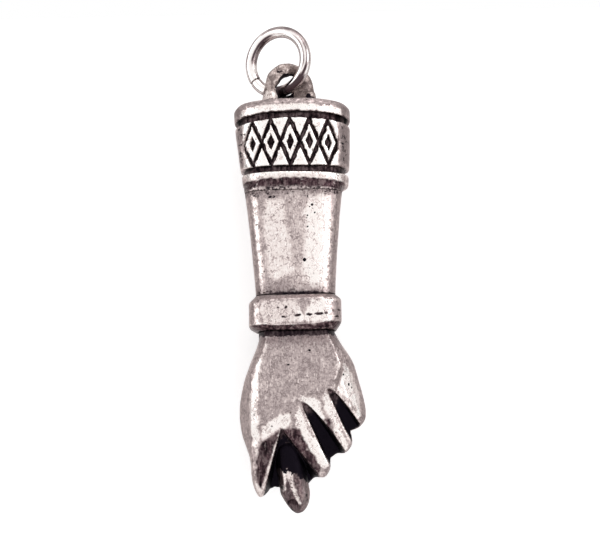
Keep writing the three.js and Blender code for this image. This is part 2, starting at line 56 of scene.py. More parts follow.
# The photograph's view
cameraView = {
    "aim": (1.288, 0.62, -23.764),  # middle of the charm, on the forearm's axis
    "distance": 130.0,
    "pitch": 6.5,  # degrees that it looks up
    "roll": -1.2,
    "lens": 78.0,
    "shiftX": 5 / 600,
}


def addCamera(view):
    pitch, roll = math.radians(view["pitch"]), math.radians(view["roll"])
    forward = Vector((0, math.cos(pitch), math.sin(pitch)))
    right = Vector((1, 0, 0))
    up = right.cross(forward)
    tiltedRight = math.cos(roll) * right + math.sin(roll) * up
    tiltedUp = math.cos(roll) * up - math.sin(roll) * right
    data = bpy.data.cameras.new("camera")
    data.lens = view["lens"]
    data.sensor_width = 36
    data.shift_x = view["shiftX"]
    data.clip_start, data.clip_end = 0.005, 10
    cam = addObject("camera", data)
    turn = Matrix((tiltedRight, tiltedUp, -forward)).transposed().to_4x4()
    place = (Vector(view["aim"]) - view["distance"] * forward) * mm
    cam.matrix_world = Matrix.Translation(place) @ turn
    scene.camera = cam


addCamera(cameraView)

# The charm's own levels, the same as the solids'
axisX, axisY = 1.288, 0.620
cuffTopZ, panelTopZ, panelLowZ = -7.469, -9.169, -13.819
armTopZ, bandTopZ, fistTopZ = -16.219, -26.469, -29.969
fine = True


# Mesh helpers: points come and go in millimetres
def newPiece(name, points, faces):
    mesh = bpy.data.meshes.new(name)
    mesh.from_pydata((np.asarray(points) * mm).tolist(), [], faces)
    mesh.validate()
    mesh.polygons.foreach_set("use_smooth", [True] * len(mesh.polygons))
    return addObject(name, mesh)


def points(piece):
    flat = np.empty(3 * len(piece.data.vertices))
    piece.data.vertices.foreach_get("co", flat)
    return flat.reshape(-1, 3) / mm


def setPoints(piece, co):
    piece.data.vertices.foreach_set("co", (co * mm).ravel())
    piece.data.update()


def normals(piece):
    flat = np.empty(3 * len(piece.data.vertices))
    piece.data.vertices.foreach_get("normal", flat)
    return flat.reshape(-1, 3)


def paint(piece, name, values):
    layer = piece.data.attributes.get(name) or piece.data.attributes.new(name, "FLOAT", "POINT")
    layer.data.foreach_set("value", np.asarray(values, dtype=np.float32))


# A fine even skin over a CAD solid, so that it can be worn, dented and painted
def recast(name, node, voxel, smoothing):
    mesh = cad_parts[node].data.copy()
    mesh.materials.clear()
    welded = bmesh.new()
    welded.from_mesh(mesh)
    bmesh.ops.remove_doubles(welded, verts=welded.verts, dist=1e-7)
    welded.to_mesh(mesh)
    welded.free()
    piece = addObject(name, mesh)
    remesh = piece.modifiers.new("remesh", "REMESH")
    remesh.mode = "VOXEL"
    remesh.voxel_size = voxel * mm
    soften = piece.modifiers.new("soften", "SMOOTH")
    soften.iterations = smoothing
    solid = bpy.data.meshes.new_from_object(piece.evaluated_get(bpy.context.evaluated_depsgraph_get()))
    piece.modifiers.clear()
    piece.data = solid
    solid.name = name
    solid.polygons.foreach_set("use_smooth", [True] * len(solid.polygons))
    return piece


def ripple(co, wavelength, seed):
    return np.array([noise.noise(Vector(p)) for p in (co / wavelength + seed).tolist()])


# Hammers and hand filing leave a casting a little uneven: low swells, in millimetres
def swell(piece, wavelength, height, seed):
    co, no = points(piece), normals(piece)
    setPoints(piece, co + no * (ripple(co, wavelength, seed) * height)[:, None])


# Files a flat on the piece: whatever stands outside the plane through a, b and c goes back onto it.
# The plane's outer side is the one that the point "outside" lies on.
def fileFlat(co, a, b, c, outside):
    a, b, c = (np.array(p, float) for p in (a, b, c))
    n = np.cross(b - a, c - a)
    n /= np.linalg.norm(n)
    if (np.array(outside, float) - a) @ n < 0:
        n = -n
    over = np.maximum((co - a) @ n, 0)
    return co - over[:, None] * n


# 0 below low, 1 above high, and smooth between them
def ease(x, low, high):
    t = np.clip((x - low) / (high - low), 0, 1)
    return t * t * (3 - 2 * t)


# Value of a grid at any points inside it
def sample(grid, low, pitch, co):
    g = np.clip((co - low) / pitch, 0, np.array(grid.shape) - 1.001)
    base = g.astype(int)
    t = g - base
    total = 0
    for dx in (0, 1):
        for dy in (0, 1):
            for dz in (0, 1):
                weight = abs(1 - dx - t[:, 0]) * abs(1 - dy - t[:, 1]) * abs(1 - dz - t[:, 2])
                total = total + weight * grid[base[:, 0] + dx, base[:, 1] + dy, base[:, 2] + dz]
    return total


# Fist
fist = {
    "voxel": 0.1 if fine else 0.16,
    "box": ((-6.5, 7.4), (-4.1, 4.3), (-18.3, 0.6)),
    "plateauY": -3.27, "plateauSlope": 0.012, "wristY": -3.0, "wristSlope": 0.17,
    "knuckleSlopes": (0.42, 0.1), "bevelSlope": 0.85, "sideSlopes": (2.6, 2.4),
    "edgeRound": 1.3, "edgeY": -3.35,
    "bevelLeft": [(0, -3.3), (-1.6, -3.4), (-4.3, -3.83), (-10, -3.84), (-12, -3.9), (-15, -4.15),
                  (-17, -4.3)],
    "bevelRight": [(0, 3.3), (-2.2, 3.75), (-3.5, 4.2), (-5, 4.4), (-8, 5.2), (-9.4, 5.7), (-17, 6)],
    "bevelWidth": (0.75, 0.85),
    "knuckleLine": [(-6, -10), (-3.8, -8.7), (-0.95, -7.25), (0.1, -6.45), (2.6, -5.6), (3.6, -4.9),
                    (4.4, -2.8), (7, -2)],
    "knuckleWidth": 1.55,
    "halfDepth": [(0, 3.05), (-1, 3.05), (-2.4, 3.25), (-4.3, 3.45), (-6.3, 3.55), (-8.3, 3.58),
                  (-10.5, 3.52), (-13, 3.3), (-15, 2.95), (-16.2, 2.35), (-18, 1.8)],
    "ball": [((-1.2, 0.9, -2.2), 2.1), ((-2.6, 1.15, -5.4), 2.55), ((-3.2, 1.2, -8), 2.15)],  # below the thumb
    "thumbRadius": 1.43,
    "thumbTip": (-0.15, -0.6, -17.72),
    "tipLength": 2.15,
    "thumbTurn": 8.0, "nailTurn": 12,
    "nailSide": -0.08, "nailRise": -0.85, "nailSize": (0.62, 0.85),
    "curlHalfWidth": 0.27, "curlDepth": 0.32,
    "curls": [  # where the index and little fingertips tuck in to the palm, seen from the side as y and z
        {"side": -1, "x": -3.4, "line": [(3.6, -9.9), (2.3, -10.1), (1.4, -10.9), (1.05, -12.1),
                                         (1.3, -13.3)]},
        {"side": 1, "x": 5.2, "line": [(3.6, -5.2), (2.1, -5.5), (1.2, -6.3), (0.95, -7.4), (1.15, -8.5)]},
    ],
}

# Runs of the fist's outline, seen from the back of the hand: x to the right, z up, from the wrist
outlineRuns = [
    [(-3.87, 0.5), (-3.8, -0.9), (-4.75, -3.3), (-5.4, -5.2), (-5.9, -7.9), (-5.65, -9.9), (-5.35, -10.8)],
    [(-5.35, -10.8), (-4.85, -12.4), (-4.65, -14.6), (-4.1, -16), (-3.5, -16.05), (-2.75, -15.4)],
    [(0.94, -15), (1.6, -14.4), (2.5, -14.35), (3.1, -13.5), (3.2, -12.5)],
    [(3.2, -12.5), (3.75, -12.1), (4.6, -12), (5.3, -11.1), (5.2, -9.9)],
    [(5.2, -9.9), (6.1, -9.5), (6.7, -8.6), (6.75, -7.3), (6.3, -5.3), (5.5, -2.95), (4.35, -1.1), (3.75, 0),
     (3.75, 0.5)],
]

# Grooves of the front. Walls are shares of the groove's width; a swell below 1 bows its right side out.
grooveParts = ("apex", "left", "right", "floor", "walls", "swell")
frontGrooves = [dict(zip(grooveParts, row)) for row in (
    ((-1.5, -8.9), (-4.5, -16.9), (3, -14.8), -2.0, (0.3, 0.3), 1),
    ((-1.67, -9.4), (-3.7, -16.3), (2.6, -14.9), 0.5, (0.1, 0.14), 1),
    ((0.18, -6.85), (2.95, -13.2), (4.85, -12.2), -0.4, (0.08, 0.22), 0.55),
    ((2.7, -5.6), (5.0, -10.7), (6.5, -9.8), -0.8, (0.08, 0.2), 0.5),
)]
palmGrooves = [
    [(-1.9, -9.6), (-2.3, -13), (-2.5, -16.6)],
    [(0.7, -7.9), (2.2, -10.8), (3.4, -13.4)],
    [(3.1, -6.4), (4.4, -8.6), (5.5, -10.7)],
]
palmCrease = [(-6, -10.5), (-1.9, -9.7), (0.7, -8), (3.1, -6.5), (7, -5.1)]


def roundCurve(run, steps=8):
    p = [run[0], *run, run[-1]]
    out = []
    for i in range(len(run) - 1):
        a, b, c, d = (np.array(q, float) for q in p[i:i + 4])
        for k in range(steps):
            t = k / steps
            square, cube = 2 * a - 5 * b + 4 * c - d, 3 * b - a - 3 * c + d
            out.append(0.5 * (2 * b + (c - a) * t + square * t ** 2 + cube * t ** 3))
    return out


def lineDistance(line, x, z):
    far = np.full(x.shape, 1e9)
    for (ax, az), (bx, bz) in zip(line, line[1:]):
        ex, ez = bx - ax, bz - az
        t = np.clip(((x - ax) * ex + (z - az) * ez) / max(ex * ex + ez * ez, 1e-12), 0, 1)
        far = np.minimum(far, np.hypot(x - ax - t * ex, z - az - t * ez))
    return far


# Negative inside
def outlineDistance(polygon, x, z):
    closed = [*polygon, polygon[0]]
    inside = np.zeros(x.shape, bool)
    for (ax, az), (bx, bz) in zip(closed, closed[1:]):
        if az != bz:
            inside ^= ((az > z) != (bz > z)) & (x < (bx - ax) * (z - az) / (bz - az) + ax)
    return np.where(inside, -1, 1) * lineDistance(closed, x, z)


def along(table, z):
    at = np.array(sorted(table))
    return np.interp(z, at[:, 0], at[:, 1])


def softMax(a, b, radius):
    h = np.maximum(radius - np.abs(a - b), 0) / radius
    return np.maximum(a, b) + h * h * radius / 4


def softMin(a, b, radius):
    return -softMax(-a, -b, radius)


def grooveDepth(x, z, surface, groove):
    apex, left, right = (np.array(groove[k], float) for k in ("apex", "left", "right"))
    a, b = left - apex, right - left
    det = a[0] * b[1] - a[1] * b[0]
    px, pz = x - apex[0], z - apex[1]
    t = (px * b[1] - pz * b[0]) / det
    across = (a[0] * pz - a[1] * px) / det / np.maximum(t, 1e-6) ** groove["swell"]
    low, high = groove["walls"]
    wall = np.clip(np.minimum(across / low, (1 - across) / high), 0, 1)
    wall = np.where(t > 0, wall, 0)
    return surface + (groove["floor"] - surface) * np.clip(t, 0, 1.3) * wall


def fistFront(x, z, inset):
    f = fist
    y = np.maximum(f["plateauY"] + f["plateauSlope"] * (z + 4), f["wristY"] + f["wristSlope"] * z)
    drop = np.clip(along(f["knuckleLine"], x) - z, 0, None)
    steep, flat = f["knuckleSlopes"]
    y = y + steep * np.minimum(drop, f["knuckleWidth"]) + flat * np.maximum(drop - f["knuckleWidth"], 0)
    outs = (along(f["bevelLeft"], z) - x, x - along(f["bevelRight"], z))
    for out, width, side in zip(outs, f["bevelWidth"], f["sideSlopes"]):
        y = y + f["bevelSlope"] * np.clip(out, 0, width) + side * np.maximum(out - width, 0)
    rim = 1 - np.clip(inset, 0, f["edgeRound"]) / f["edgeRound"]
    return np.maximum(y, f["edgeY"] * np.sqrt(np.clip(1 - rim ** 2, 0, 1)))


# The palm swells from its rim and has its grooves between the fingers and one crease across
def fistPalm(x, z, inset):
    rim, power = 2.6, 2.3
    depth = along(fist["halfDepth"], z) - 0.05
    y = depth * (1 - (1 - np.clip(inset, 0, rim) / rim) ** power) ** (1 / power)
    for line in palmGrooves:
        far = lineDistance(line, x, z)
        y = y - 0.5 * np.exp(-(far / 0.2) ** 2) - 0.45 * np.exp(-(far / 0.8) ** 2)
    far = lineDistance(palmCrease, x, z)
    return y - ease(inset, 0.3, 2.2) * (0.42 * np.exp(-(far / 0.22) ** 2) + 0.35 * np.exp(-(far / 1.0) ** 2))


# Skin of a field of numbers at its zero: one point in each cell that it crosses, one face for each crossed edge
def skin(field, origin, step):
    cells = np.array(field.shape) - 1
    place, count = np.zeros((*cells, 3)), np.zeros(cells)
    crossed = []
    for axis in range(3):
        f0, f1 = [np.take(field, range(k, cells[axis] + k), axis) for k in (0, 1)]
        at = np.argwhere((f0 < 0) != (f1 < 0))
        f0, f1 = f0[tuple(at.T)], f1[tuple(at.T)]
        spot = at.astype(float)
        spot[:, axis] += f0 / (f0 - f1)
        u, v = (axis + 1) % 3, (axis + 2) % 3
        around = []
        for du, dv in ((0, 0), (-1, 0), (-1, -1), (0, -1)):
            cell = at.copy()
            cell[:, u] += du
            cell[:, v] += dv
            around.append(cell)
            ok = ((cell >= 0) & (cell < cells)).all(1)
            c = tuple(cell[ok].T)
            np.add.at(place, c, spot[ok])
            np.add.at(count, c, 1)
        crossed.append((around, f0 < 0))
    used = tuple(np.argwhere(count > 0).T)
    index = np.full(cells, -1)
    index[used] = np.arange(len(used[0]))
    faces = []
    for around, goingOut in crossed:
        quad = np.stack([index[tuple(cell.T)] for cell in around], 1)
        quad[~goingOut] = quad[~goingOut][:, ::-1]
        faces.append(quad)
    return place[used] / count[used][:, None] * step + origin, np.concatenate(faces)


def capsule(x, y, z, a, b, ra, rb):
    a, b = np.array(a, float), np.array(b, float)
    e = b - a
    t = np.clip(((x - a[0]) * e[0] + (y - a[1]) * e[1] + (z - a[2]) * e[2]) / (e @ e), 0, 1)
    far = np.sqrt((x - a[0] - t * e[0]) ** 2 + (y - a[1] - t * e[1]) ** 2 + (z - a[2] - t * e[2]) ** 2)
    return far - (ra + t * (rb - ra))


def makeFist():
    h = fist["voxel"]
    xs, ys, zs = (np.arange(a, b, h) for a, b in fist["box"])
    x2, z2 = np.meshgrid(xs, zs, indexing="ij")
    polygon = [p for run in outlineRuns for p in roundCurve(run)] + [(3.75, 0.5), (3.75, 4.5), (-3.87, 4.5)]
    flat = outlineDistance([tuple(p) for p in polygon], x2, z2)
    front = fistFront(x2, z2, -flat)
    front = np.maximum(front, grooveDepth(x2, z2, front, frontGrooves[0]))
    plainFront = front
    for groove in frontGrooves[1:]:
        front = np.maximum(front, grooveDepth(x2, z2, front, groove))
    palm = fistPalm(x2, z2, -flat)

    # heights over the plane become distances when they are divided by this
    def steepness(surface):
        gx, gz = np.gradient(surface, h)
        return np.sqrt(1 + np.clip(gx ** 2 + gz ** 2, 0, 9))

    x, y, z = xs[:, None, None], ys[None, :, None], zs[None, None, :]
    inFront = (front[:, None, :] - y) / steepness(front)[:, None, :]
    behind = (y - palm[:, None, :]) / steepness(palm)[:, None, :]
    hand = softMax(softMax(inFront, behind, 0.3), flat[:, None, :] + 0 * y, 0.25)
    ball = [capsule(x, y, z, a, b, ra, rb) for (a, ra), (b, rb) in zip(fist["ball"], fist["ball"][1:])]
    hand = softMin(hand, np.minimum(*ball), 0.5)
    for curl in fist["curls"]:
        line, side = roundCurve(curl["line"]) + [curl["line"][-1]], curl["side"]
        endY, endZ = curl["line"][-1]
        half = fist["curlHalfWidth"] * ease(np.hypot(y - endY, z - endZ), -0.4, 2.5)
        cut = lineDistance(line, y + 0 * z, z + 0 * y) - half
        notDeep = np.maximum(side * (curl["x"] - x), -(hand + fist["curlDepth"]))
        hand = softMax(hand, -np.maximum(cut, notDeep), 0.25)
    hand = np.maximum(hand, z + 0 * x + 0 * y)

    turn = math.radians(fist["thumbTurn"])
    up = np.array((-math.sin(turn), 0, math.cos(turn)))
    tip, long, r = np.array(fist["thumbTip"]), fist["tipLength"], fist["thumbRadius"]
    thumb = capsule(x, y, z, tip + up * long, tip + up * 6, r, r)
    dx, dy, dz = x - tip[0] - up[0] * long, y - tip[1], z - tip[2] - up[2] * long
    rise = dx * up[0] + dz * up[2]
    side = dx * up[2] - dz * up[0]
    side = np.where((side < 0) & (rise < 0), side * (1 - 0.2 * rise), side)  # its left tapers
    stretched = np.sqrt(side ** 2 + dy ** 2 + (np.minimum(rise, 0) * r / long) ** 2) - r
    thumb = np.where(rise < 0, stretched, thumb)
    nailTurn = math.radians(fist["nailTurn"])
    facing = -side * math.sin(nailTurn) - dy * math.cos(nailTurn)
    sideways = side * math.cos(nailTurn) - dy * math.sin(nailTurn)
    thumb = softMax(thumb, facing - 1.33, 0.08)
    sideways, upNail = sideways - fist["nailSide"], rise - fist["nailRise"]
    nail = np.sqrt((sideways / fist["nailSize"][0]) ** 2 + (upNail / fist["nailSize"][1]) ** 2) - 1
    nailCut = np.maximum(nail * 0.6, 0.95 + 0.28 * upNail - facing)
    thumb = np.maximum(thumb, -nailCut)
    both = softMin(hand, thumb, 0.12)
    low = np.array((xs[0], ys[0], zs[0]))
    co, faces = skin(both, low, h)
    onThumb = ease(sample(hand - thumb, low, h, co), -0.05, 0.05)
    cutAway = np.repeat(np.where(front - plainFront > 0.02, plainFront, 9)[:, None, :], len(ys), 1)
    sunk = np.maximum(co[:, 1] - sample(cutAway, low, h, co), 0) * (1 - onThumb)
    return newPiece("fistCast", co + np.array((axisX, axisY, fistTopZ)), faces.tolist()), onThumb, sunk


fistPiece, onThumb, sunk = makeFist()
print("stage: fist", len(fistPiece.data.polygons))

# Cuff, forearm and band
cast = {
    "voxel": 0.09 if fine else 0.15,
    "soften": 3,
    "swellWave": 2.4, "swellHeight": 0.035,
    "dentWave": 0.55, "dentHeight": 0.012,
    "rimY": 4.914,  # as far as the solid's rim goes
}
castNames = {
    "cuff_top": "cuffTopCast", "cuff_base": "cuffBaseCast",
    "forearm": "forearmCast", "wrist_band": "wristBandCast",
}
castPieces = {node: recast(name, node, cast["voxel"], cast["soften"]) for node, name in castNames.items()}
castPieces["fist"] = fistPiece

# Frieze: a drum between two grooves, with a row of raised lozenges in a sunk panel on its front
frieze = {
    "halfWidth": 5.88, "halfDepth": 4.29, "taper": 0.7, "ease": 1.5, "lean": 0.031, "squareness": 2.7,
    "length": 8.75, "topZ": -8.519, "lowZ": -14.339, "neck": 0.6, "bow": 0.45,
    "panelHalfWidth": 4.75, "panelShift": -0.2, "panelSink": 0.5, "lozenges": 5, "gap": 0.31, "eyeShare": 0.34,
    "spacing": 0.055 if fine else 0.09, "wobble": 0.065,
}


def friezeRelief(x, z, front):
    f = frieze
    top = panelTopZ - f["bow"] * (x / f["halfWidth"]) ** 2
    half = (top - panelLowZ - 0.16) / 2
    middle = (top + panelLowZ) / 2
    cut, fray = [np.array([noise.noise(Vector((a * k, seed, b * k))) for a, b in zip(x, z)])
                 for k, seed in ((1.9, 3), (6, 9))]
    cut = f["wobble"] * (cut + 0.5 * fray)
    pitch = f["panelHalfWidth"] / f["lozenges"]
    u = (x - f["panelShift"] + f["panelHalfWidth"]) / pitch + 0.064 * cut / f["wobble"]
    v = (z - middle) / half
    scale = pitch * half / np.hypot(pitch, half)
    lozenge = np.abs((u % 2) - 1) + np.abs(v)  # above 1 in the triangles between them
    hole = (f["eyeShare"] - lozenge) * scale + cut
    away = np.abs(lozenge - 1) * scale - f["gap"] / 2 + cut
    away = np.minimum(away, np.where(lozenge < 1, -hole, 1))
    raised = ease(away, -0.07, 0.07)
    pillow = 0.05 * (1 - ease(away, 0.0, 0.35))
    inPanel = ease(f["panelHalfWidth"] + 0.05 - np.abs(x - f["panelShift"]), -0.06, 0.06) * front
    depth = (f["panelSink"] * (1 - raised) + pillow) * inPanel
    low = -panelLowZ
    grooves = np.maximum(ease(z, top - 0.05 + cut, top + 0.1 + cut), ease(-z, low - 0.05, low + 0.1))
    return np.maximum(depth, f["neck"] * grooves), np.maximum(inPanel * (1 - raised), grooves)


def makeFrieze():
    f = frieze
    angle = np.linspace(0, 2 * math.pi, 4001)
    n = f["squareness"]

    def outline(a, b, t):
        c, s = np.cos(t), np.sin(t)
        r = (np.abs(c / a) ** n + np.abs(s / b) ** n) ** (-1 / n)
        return r * c, r * s

    ox, oy = outline(f["halfWidth"], f["halfDepth"], angle)
    run = np.concatenate(([0], np.cumsum(np.hypot(np.diff(ox), np.diff(oy)))))
    columns = int(run[-1] / f["spacing"])
    angles = np.interp(np.arange(columns) * run[-1] / columns, run, angle)
    rows = int((f["topZ"] - f["lowZ"]) / f["spacing"]) + 1
    levels = np.linspace(f["lowZ"], f["topZ"], rows)
    co, deep = [], []
    for z in levels:
        share = f["taper"] * ((cuffTopZ - z) / f["length"]) ** f["ease"]
        a = f["halfWidth"] - share
        b = a * f["halfDepth"] / f["halfWidth"]
        x, y = outline(a, b, angles)
        nx, ny = np.sign(x) * np.abs(x / a) ** (n - 1) / a, np.sign(y) * np.abs(y / b) ** (n - 1) / b
        length = np.hypot(nx, ny)
        nx, ny = nx / length, ny / length
        shift = f["lean"] * (cuffTopZ - z)
        inset, hollow = friezeRelief(x + shift, np.full(x.shape, z), (y < 0) * 1.0)
        co.append(np.stack((x - nx * inset + axisX + shift, y - ny * inset + axisY, np.full(x.shape, z)), 1))
        deep.append(hollow)
    i, k = np.meshgrid(np.arange(rows - 1), np.arange(columns), indexing="ij")
    here, there = i * columns + k, i * columns + (k + 1) % columns
    quads = np.stack((here, there, there + columns, here + columns), -1).reshape(-1, 4).tolist()
    caps = [tuple(range(columns - 1, -1, -1)), tuple(range((rows - 1) * columns, rows * columns))]
    return newPiece("friezeCast", np.concatenate(co), quads + caps), np.concatenate(deep)


castPieces["cuff_frieze"], friezeDeep = makeFrieze()

# Forearm and band: a flat front, and a narrow filed corner on each side of it. Values are for the upper and the
# lower level, or for the left and the right.
flats = {
    "forearm": {"levels": (armTopZ, bandTopZ), "front": (-3.62, -3.17), "flat": ((-3.45, 3.3), (-3.0, 2.95)),
                "corner": (-4.1, 4.0), "cornerDrop": (0.5, 0.5)},
    "wrist_band": {"levels": (0, 1), "front": (-3.78, -3.78), "flat": ((-3.65, 3.6), (-3.65, 3.6)),
                   "corner": (-4.2, 4.35), "cornerDrop": (0.45, 0.5)},
}
farOut = 50


def fileFlats(piece, f):
    co = points(piece)
    (top, low), (yt, yl) = f["levels"], [axisY + y for y in f["front"]]
    co = fileFlat(co, (axisX, yt, top), (axisX, yl, low), (axisX + 1, yt, top), (axisX, -farOut, 0))
    for k in (0, 1):
        p = (axisX + f["flat"][0][k], yt, top)
        q = (axisX + f["flat"][1][k], yl, low)
        r = (axisX + f["corner"][k], yt + f["cornerDrop"][k], top)
        co = fileFlat(co, p, q, r, (axisX + (-farOut, farOut)[k], -farOut, 0))
    setPoints(piece, co)


for node, f in flats.items():
    fileFlats(castPieces[node], f)

# The cuff's plate is a little domed across the front
plateDome = {"height": 0.34, "halfWidth": 6.4, "depth": 0.7}
cuffTop = castPieces["cuff_top"]
co = points(cuffTop)
lift = plateDome["height"] * (1 - ((co[:, 0] - axisX) / plateDome["halfWidth"]) ** 2)
co[:, 2] += lift * ease(co[:, 2], cuffTopZ - plateDome["depth"], cuffTopZ - 0.1)
setPoints(cuffTop, co)
for seed, piece in enumerate(castPieces.values()):
    swell(piece, cast["swellWave"], cast["swellHeight"], 11.7 * seed + 3)
    swell(piece, cast["dentWave"], cast["dentHeight"], 5.3 * seed + 1)
co = points(cuffTop)
co[:, 1] = np.minimum(co[:, 1], cast["rimY"])
setPoints(cuffTop, co)
print("stage: castings", {n: len(p.data.polygons) for n, p in castPieces.items()})

# Suspension eye: soldered on, never polished
eye = {
    "voxel": 0.07 if fine else 0.1, "soften": 4,
    "swells": [(0.9, 0.05, 41), (0.35, 0.02, 7)],  # wavelength, height, seed
    "hole": (0.1, -5.1),  # its middle, x from the axis and z
    "bendSolder": 0.2, "footSolder": 1.15, "webSolder": (1.25, 0.65),
}
eyePiece = recast("suspensionEyeCast", "suspension_eye", eye["voxel"], eye["soften"])
for wave, height, seed in eye["swells"]:
    swell(eyePiece, wave, height, seed)

co, no = points(eyePiece), normals(eyePiece)
x, z = co[:, 0] - axisX, co[:, 2]
# Solder has run into the left bend, inside the right foot, and as a web between the feet, behind the ring
bend = ease(no[:, 0] * 0.8 - no[:, 2] * 0.6, 0.1, 0.7) * ease(z, -5.7, -4.9) * ease(-x, -0.2, 0.5)
inward = ease(-no[:, 0], 0.1, 0.7) * ease(x, 0.1, 0.5)
foot = inward * ease(-z, 4.8, 5.9)
co = co + no * (eye["bendSolder"] * bend)[:, None]
co[:, 0] -= eye["footSolder"] * foot * ease(co[:, 1], -0.3, 0.15)
web = inward * ease(-z, 5.95, 6.1) * ease(co[:, 1], 0.05, 0.2)
co[:, 0] -= eye["webSolder"][0] * np.maximum(web, inward * ease(-z, 6.42, 6.75))
co[:, 1] += eye["webSolder"][1] * web
setPoints(eyePiece, co)

# Jump ring
jumpRing = {
    "radius": 3.095, "wire": 0.58, "centreZ": -2.6, "yaw": 27.0,
    "seamAngle": -57.0, "seamGap": 0.028, "seamStep": 0.03, "seamDraw": 0.1, "around": 180, "across": 48,
    # painted on the wire: dark reflections of the surroundings round its edges and sides, and shade where it
    # hangs inside the eye
    # How deep; from, to and how soft in degrees, round the ring from its lowest point and then round the wire
    # from its outside; and how much the second turns for each degree of the first
    "paintedReflectionsAndShade": [
        (0.52, (0, 360, 20), (-24, 20, 9), 0), (0.62, (0, 360, 20), (162, 202, 8), 0),
        (0.7, (104, 208, 20), (-80, -28, 7), 0.1), (0.58, (190, 262, 20), (-42, 10, 9), 0),
        (0.68, (208, 268, 9), (190, 262, 9), 0.14), (1.0, (186, 262, 10), (238, 262, 7), 0.26),
        (0.42, (140, 200, 16), (232, 242, 7), 0.1), (0.92, (62, 132, 16), (-80, -67, 7), 0),
        (0.8, (68, 144, 16), (-112, -100, 7), 0), (0.72, (76, 144, 16), (-52, -40, 7), 0),
        (1.2, (14, 60, 9), (-104, -40, 8), -0.1), (1.1, (48, 80, 8), (-90, -62, 8), 0.4),
        (0.5, (286, 346, 14), (196, 244, 12), 0), (0.38, (258, 306, 12), (240, 247, 5), 0),
        (1.0, (-24, 17, 8), (-180, 180, 5), 0),
    ],
}


def bell(value, span):
    low, high, soft = span
    away = abs((value - (low + high) / 2 + 180) % 360 - 180)
    return float(ease((high - low) / 2 + soft - away, 0, 2 * soft))


def reflectionAndShadeAt(patch, angle, section):
    depth, ringSpan, wireSpan, lean = patch
    turned = ((angle - sum(ringSpan[:2]) / 2 + 180) % 360 - 180) * lean
    return depth * bell(angle, ringSpan) * bell(section - turned, wireSpan)


def makeRing(r):
    co, faces, paintedReflectionsAndShade = [], [], []
    gap = r["seamGap"] / r["radius"]
    yaw = math.radians(r["yaw"])
    c, s = math.cos(yaw), math.sin(yaw)
    n, m = r["around"], r["across"]
    for i in range(n + 1):
        t = i / n
        angle = math.radians(r["seamAngle"]) + gap / 2 + t * (2 * math.pi - gap)
        end = min(t, 1 - t) * n
        step = r["seamStep"] * math.exp(-end / 2.5) * (1 if t < 0.5 else -1)  # the cut ends don't quite meet
        wire = r["wire"] * (1 - r["seamDraw"] * math.exp(-end / 0.6))
        for k in range(m):
            a = 2 * math.pi * k / m
            out = r["radius"] + wire * math.cos(a) + step * 0.6
            side = wire * math.sin(a) + step
            x, z = out * math.sin(angle), r["centreZ"] - out * math.cos(angle)
            co.append((x * c + side * s, -x * s + side * c, z))
            section = math.degrees(a) - r["yaw"] * math.sin(angle)
            paintedReflectionsAndShade.append(max(reflectionAndShadeAt(d, math.degrees(angle), section) for d in r["paintedReflectionsAndShade"]))
    for i in range(0, n * m, m):
        faces += [(i + k, i + k + m, i + (k + 1) % m + m, i + (k + 1) % m) for k in range(m)]
    faces += [tuple(range(m)), tuple(range(n * m + m - 1, n * m - 1, -1))]
    piece = newPiece("jumpRingWire", co, faces)
    piece.data.polygons.foreach_set("use_smooth", [True] * n * m + [False, False])
    paint(piece, "paintedReflectionsAndShade", paintedReflectionsAndShade)
    return piece


ringPiece = makeRing(jumpRing)
print("stage: ring and eye")

# Wear: how deep or how exposed each point lies
wear = {
    "pitch": 0.14 if fine else 0.2, "margin": 2.5, "blurs": {"hollow": 0.34, "shade": 0.95},
    "outside": 0.06,  # read this far above the surface
    "meetHeight": 0.3, "meetHollow": 0.45,
}


def solidGrid(pieces, low, shape, pitch):
    grid = np.zeros(shape, np.float32)
    for piece in pieces:
        tree = BVHTree.FromObject(piece, bpy.context.evaluated_depsgraph_get())
        co = points(piece)
        first = np.maximum(((co.min(0) - low) / pitch).astype(int) - 1, 0)
        last = np.minimum(((co.max(0) - low) / pitch).astype(int) + 2, shape)
        start = (co[:, 1].min() - 1) * mm
        for i in range(first[0], last[0]):
            for k in range(first[2], last[2]):
                at = Vector(((low[0] + i * pitch) * mm, start, (low[2] + k * pitch) * mm))
                hits = []
                for _ in range(12):
                    hit = tree.ray_cast(at, Vector((0, 1, 0)))
                    if hit[0] is None:
                        break
                    hits.append(hit[0].y / mm)
                    at = hit[0] + Vector((0, 1e-6, 0))
                for a, b in zip(hits[0::2], hits[1::2]):
                    ja, jb = (a - low[1]) / pitch, (b - low[1]) / pitch
                    grid[i, int(math.ceil(ja)):int(jb) + 1, k] = 1
    return grid


def blur(grid, sigma):
    reach = int(3 * sigma) + 1
    weights = np.exp(-0.5 * (np.arange(-reach, reach + 1) / sigma) ** 2)
    weights /= weights.sum()
    for axis in range(3):
        moved = np.moveaxis(grid, axis, 0)
        padded = np.pad(moved, ((reach, reach), (0, 0), (0, 0)))
        grid = sum(w * padded[i:i + moved.shape[0]] for i, w in enumerate(weights))
        grid = np.moveaxis(grid, 0, axis)
    return grid


def readWear(pieces):
    allPoints = np.concatenate([points(p) for p in pieces])
    low, pitch = allPoints.min(0) - wear["margin"], wear["pitch"]
    shape = np.ceil((allPoints.max(0) + wear["margin"] - low) / pitch).astype(int)
    grid = solidGrid(pieces, low, shape, pitch)
    for name, sigma in wear["blurs"].items():
        soft = blur(grid, sigma / pitch)
        for piece in pieces:
            co, no = points(piece), normals(piece)
            paint(piece, name, sample(soft, low, pitch, co + wear["outside"] * no))


readWear([*castPieces.values(), eyePiece])
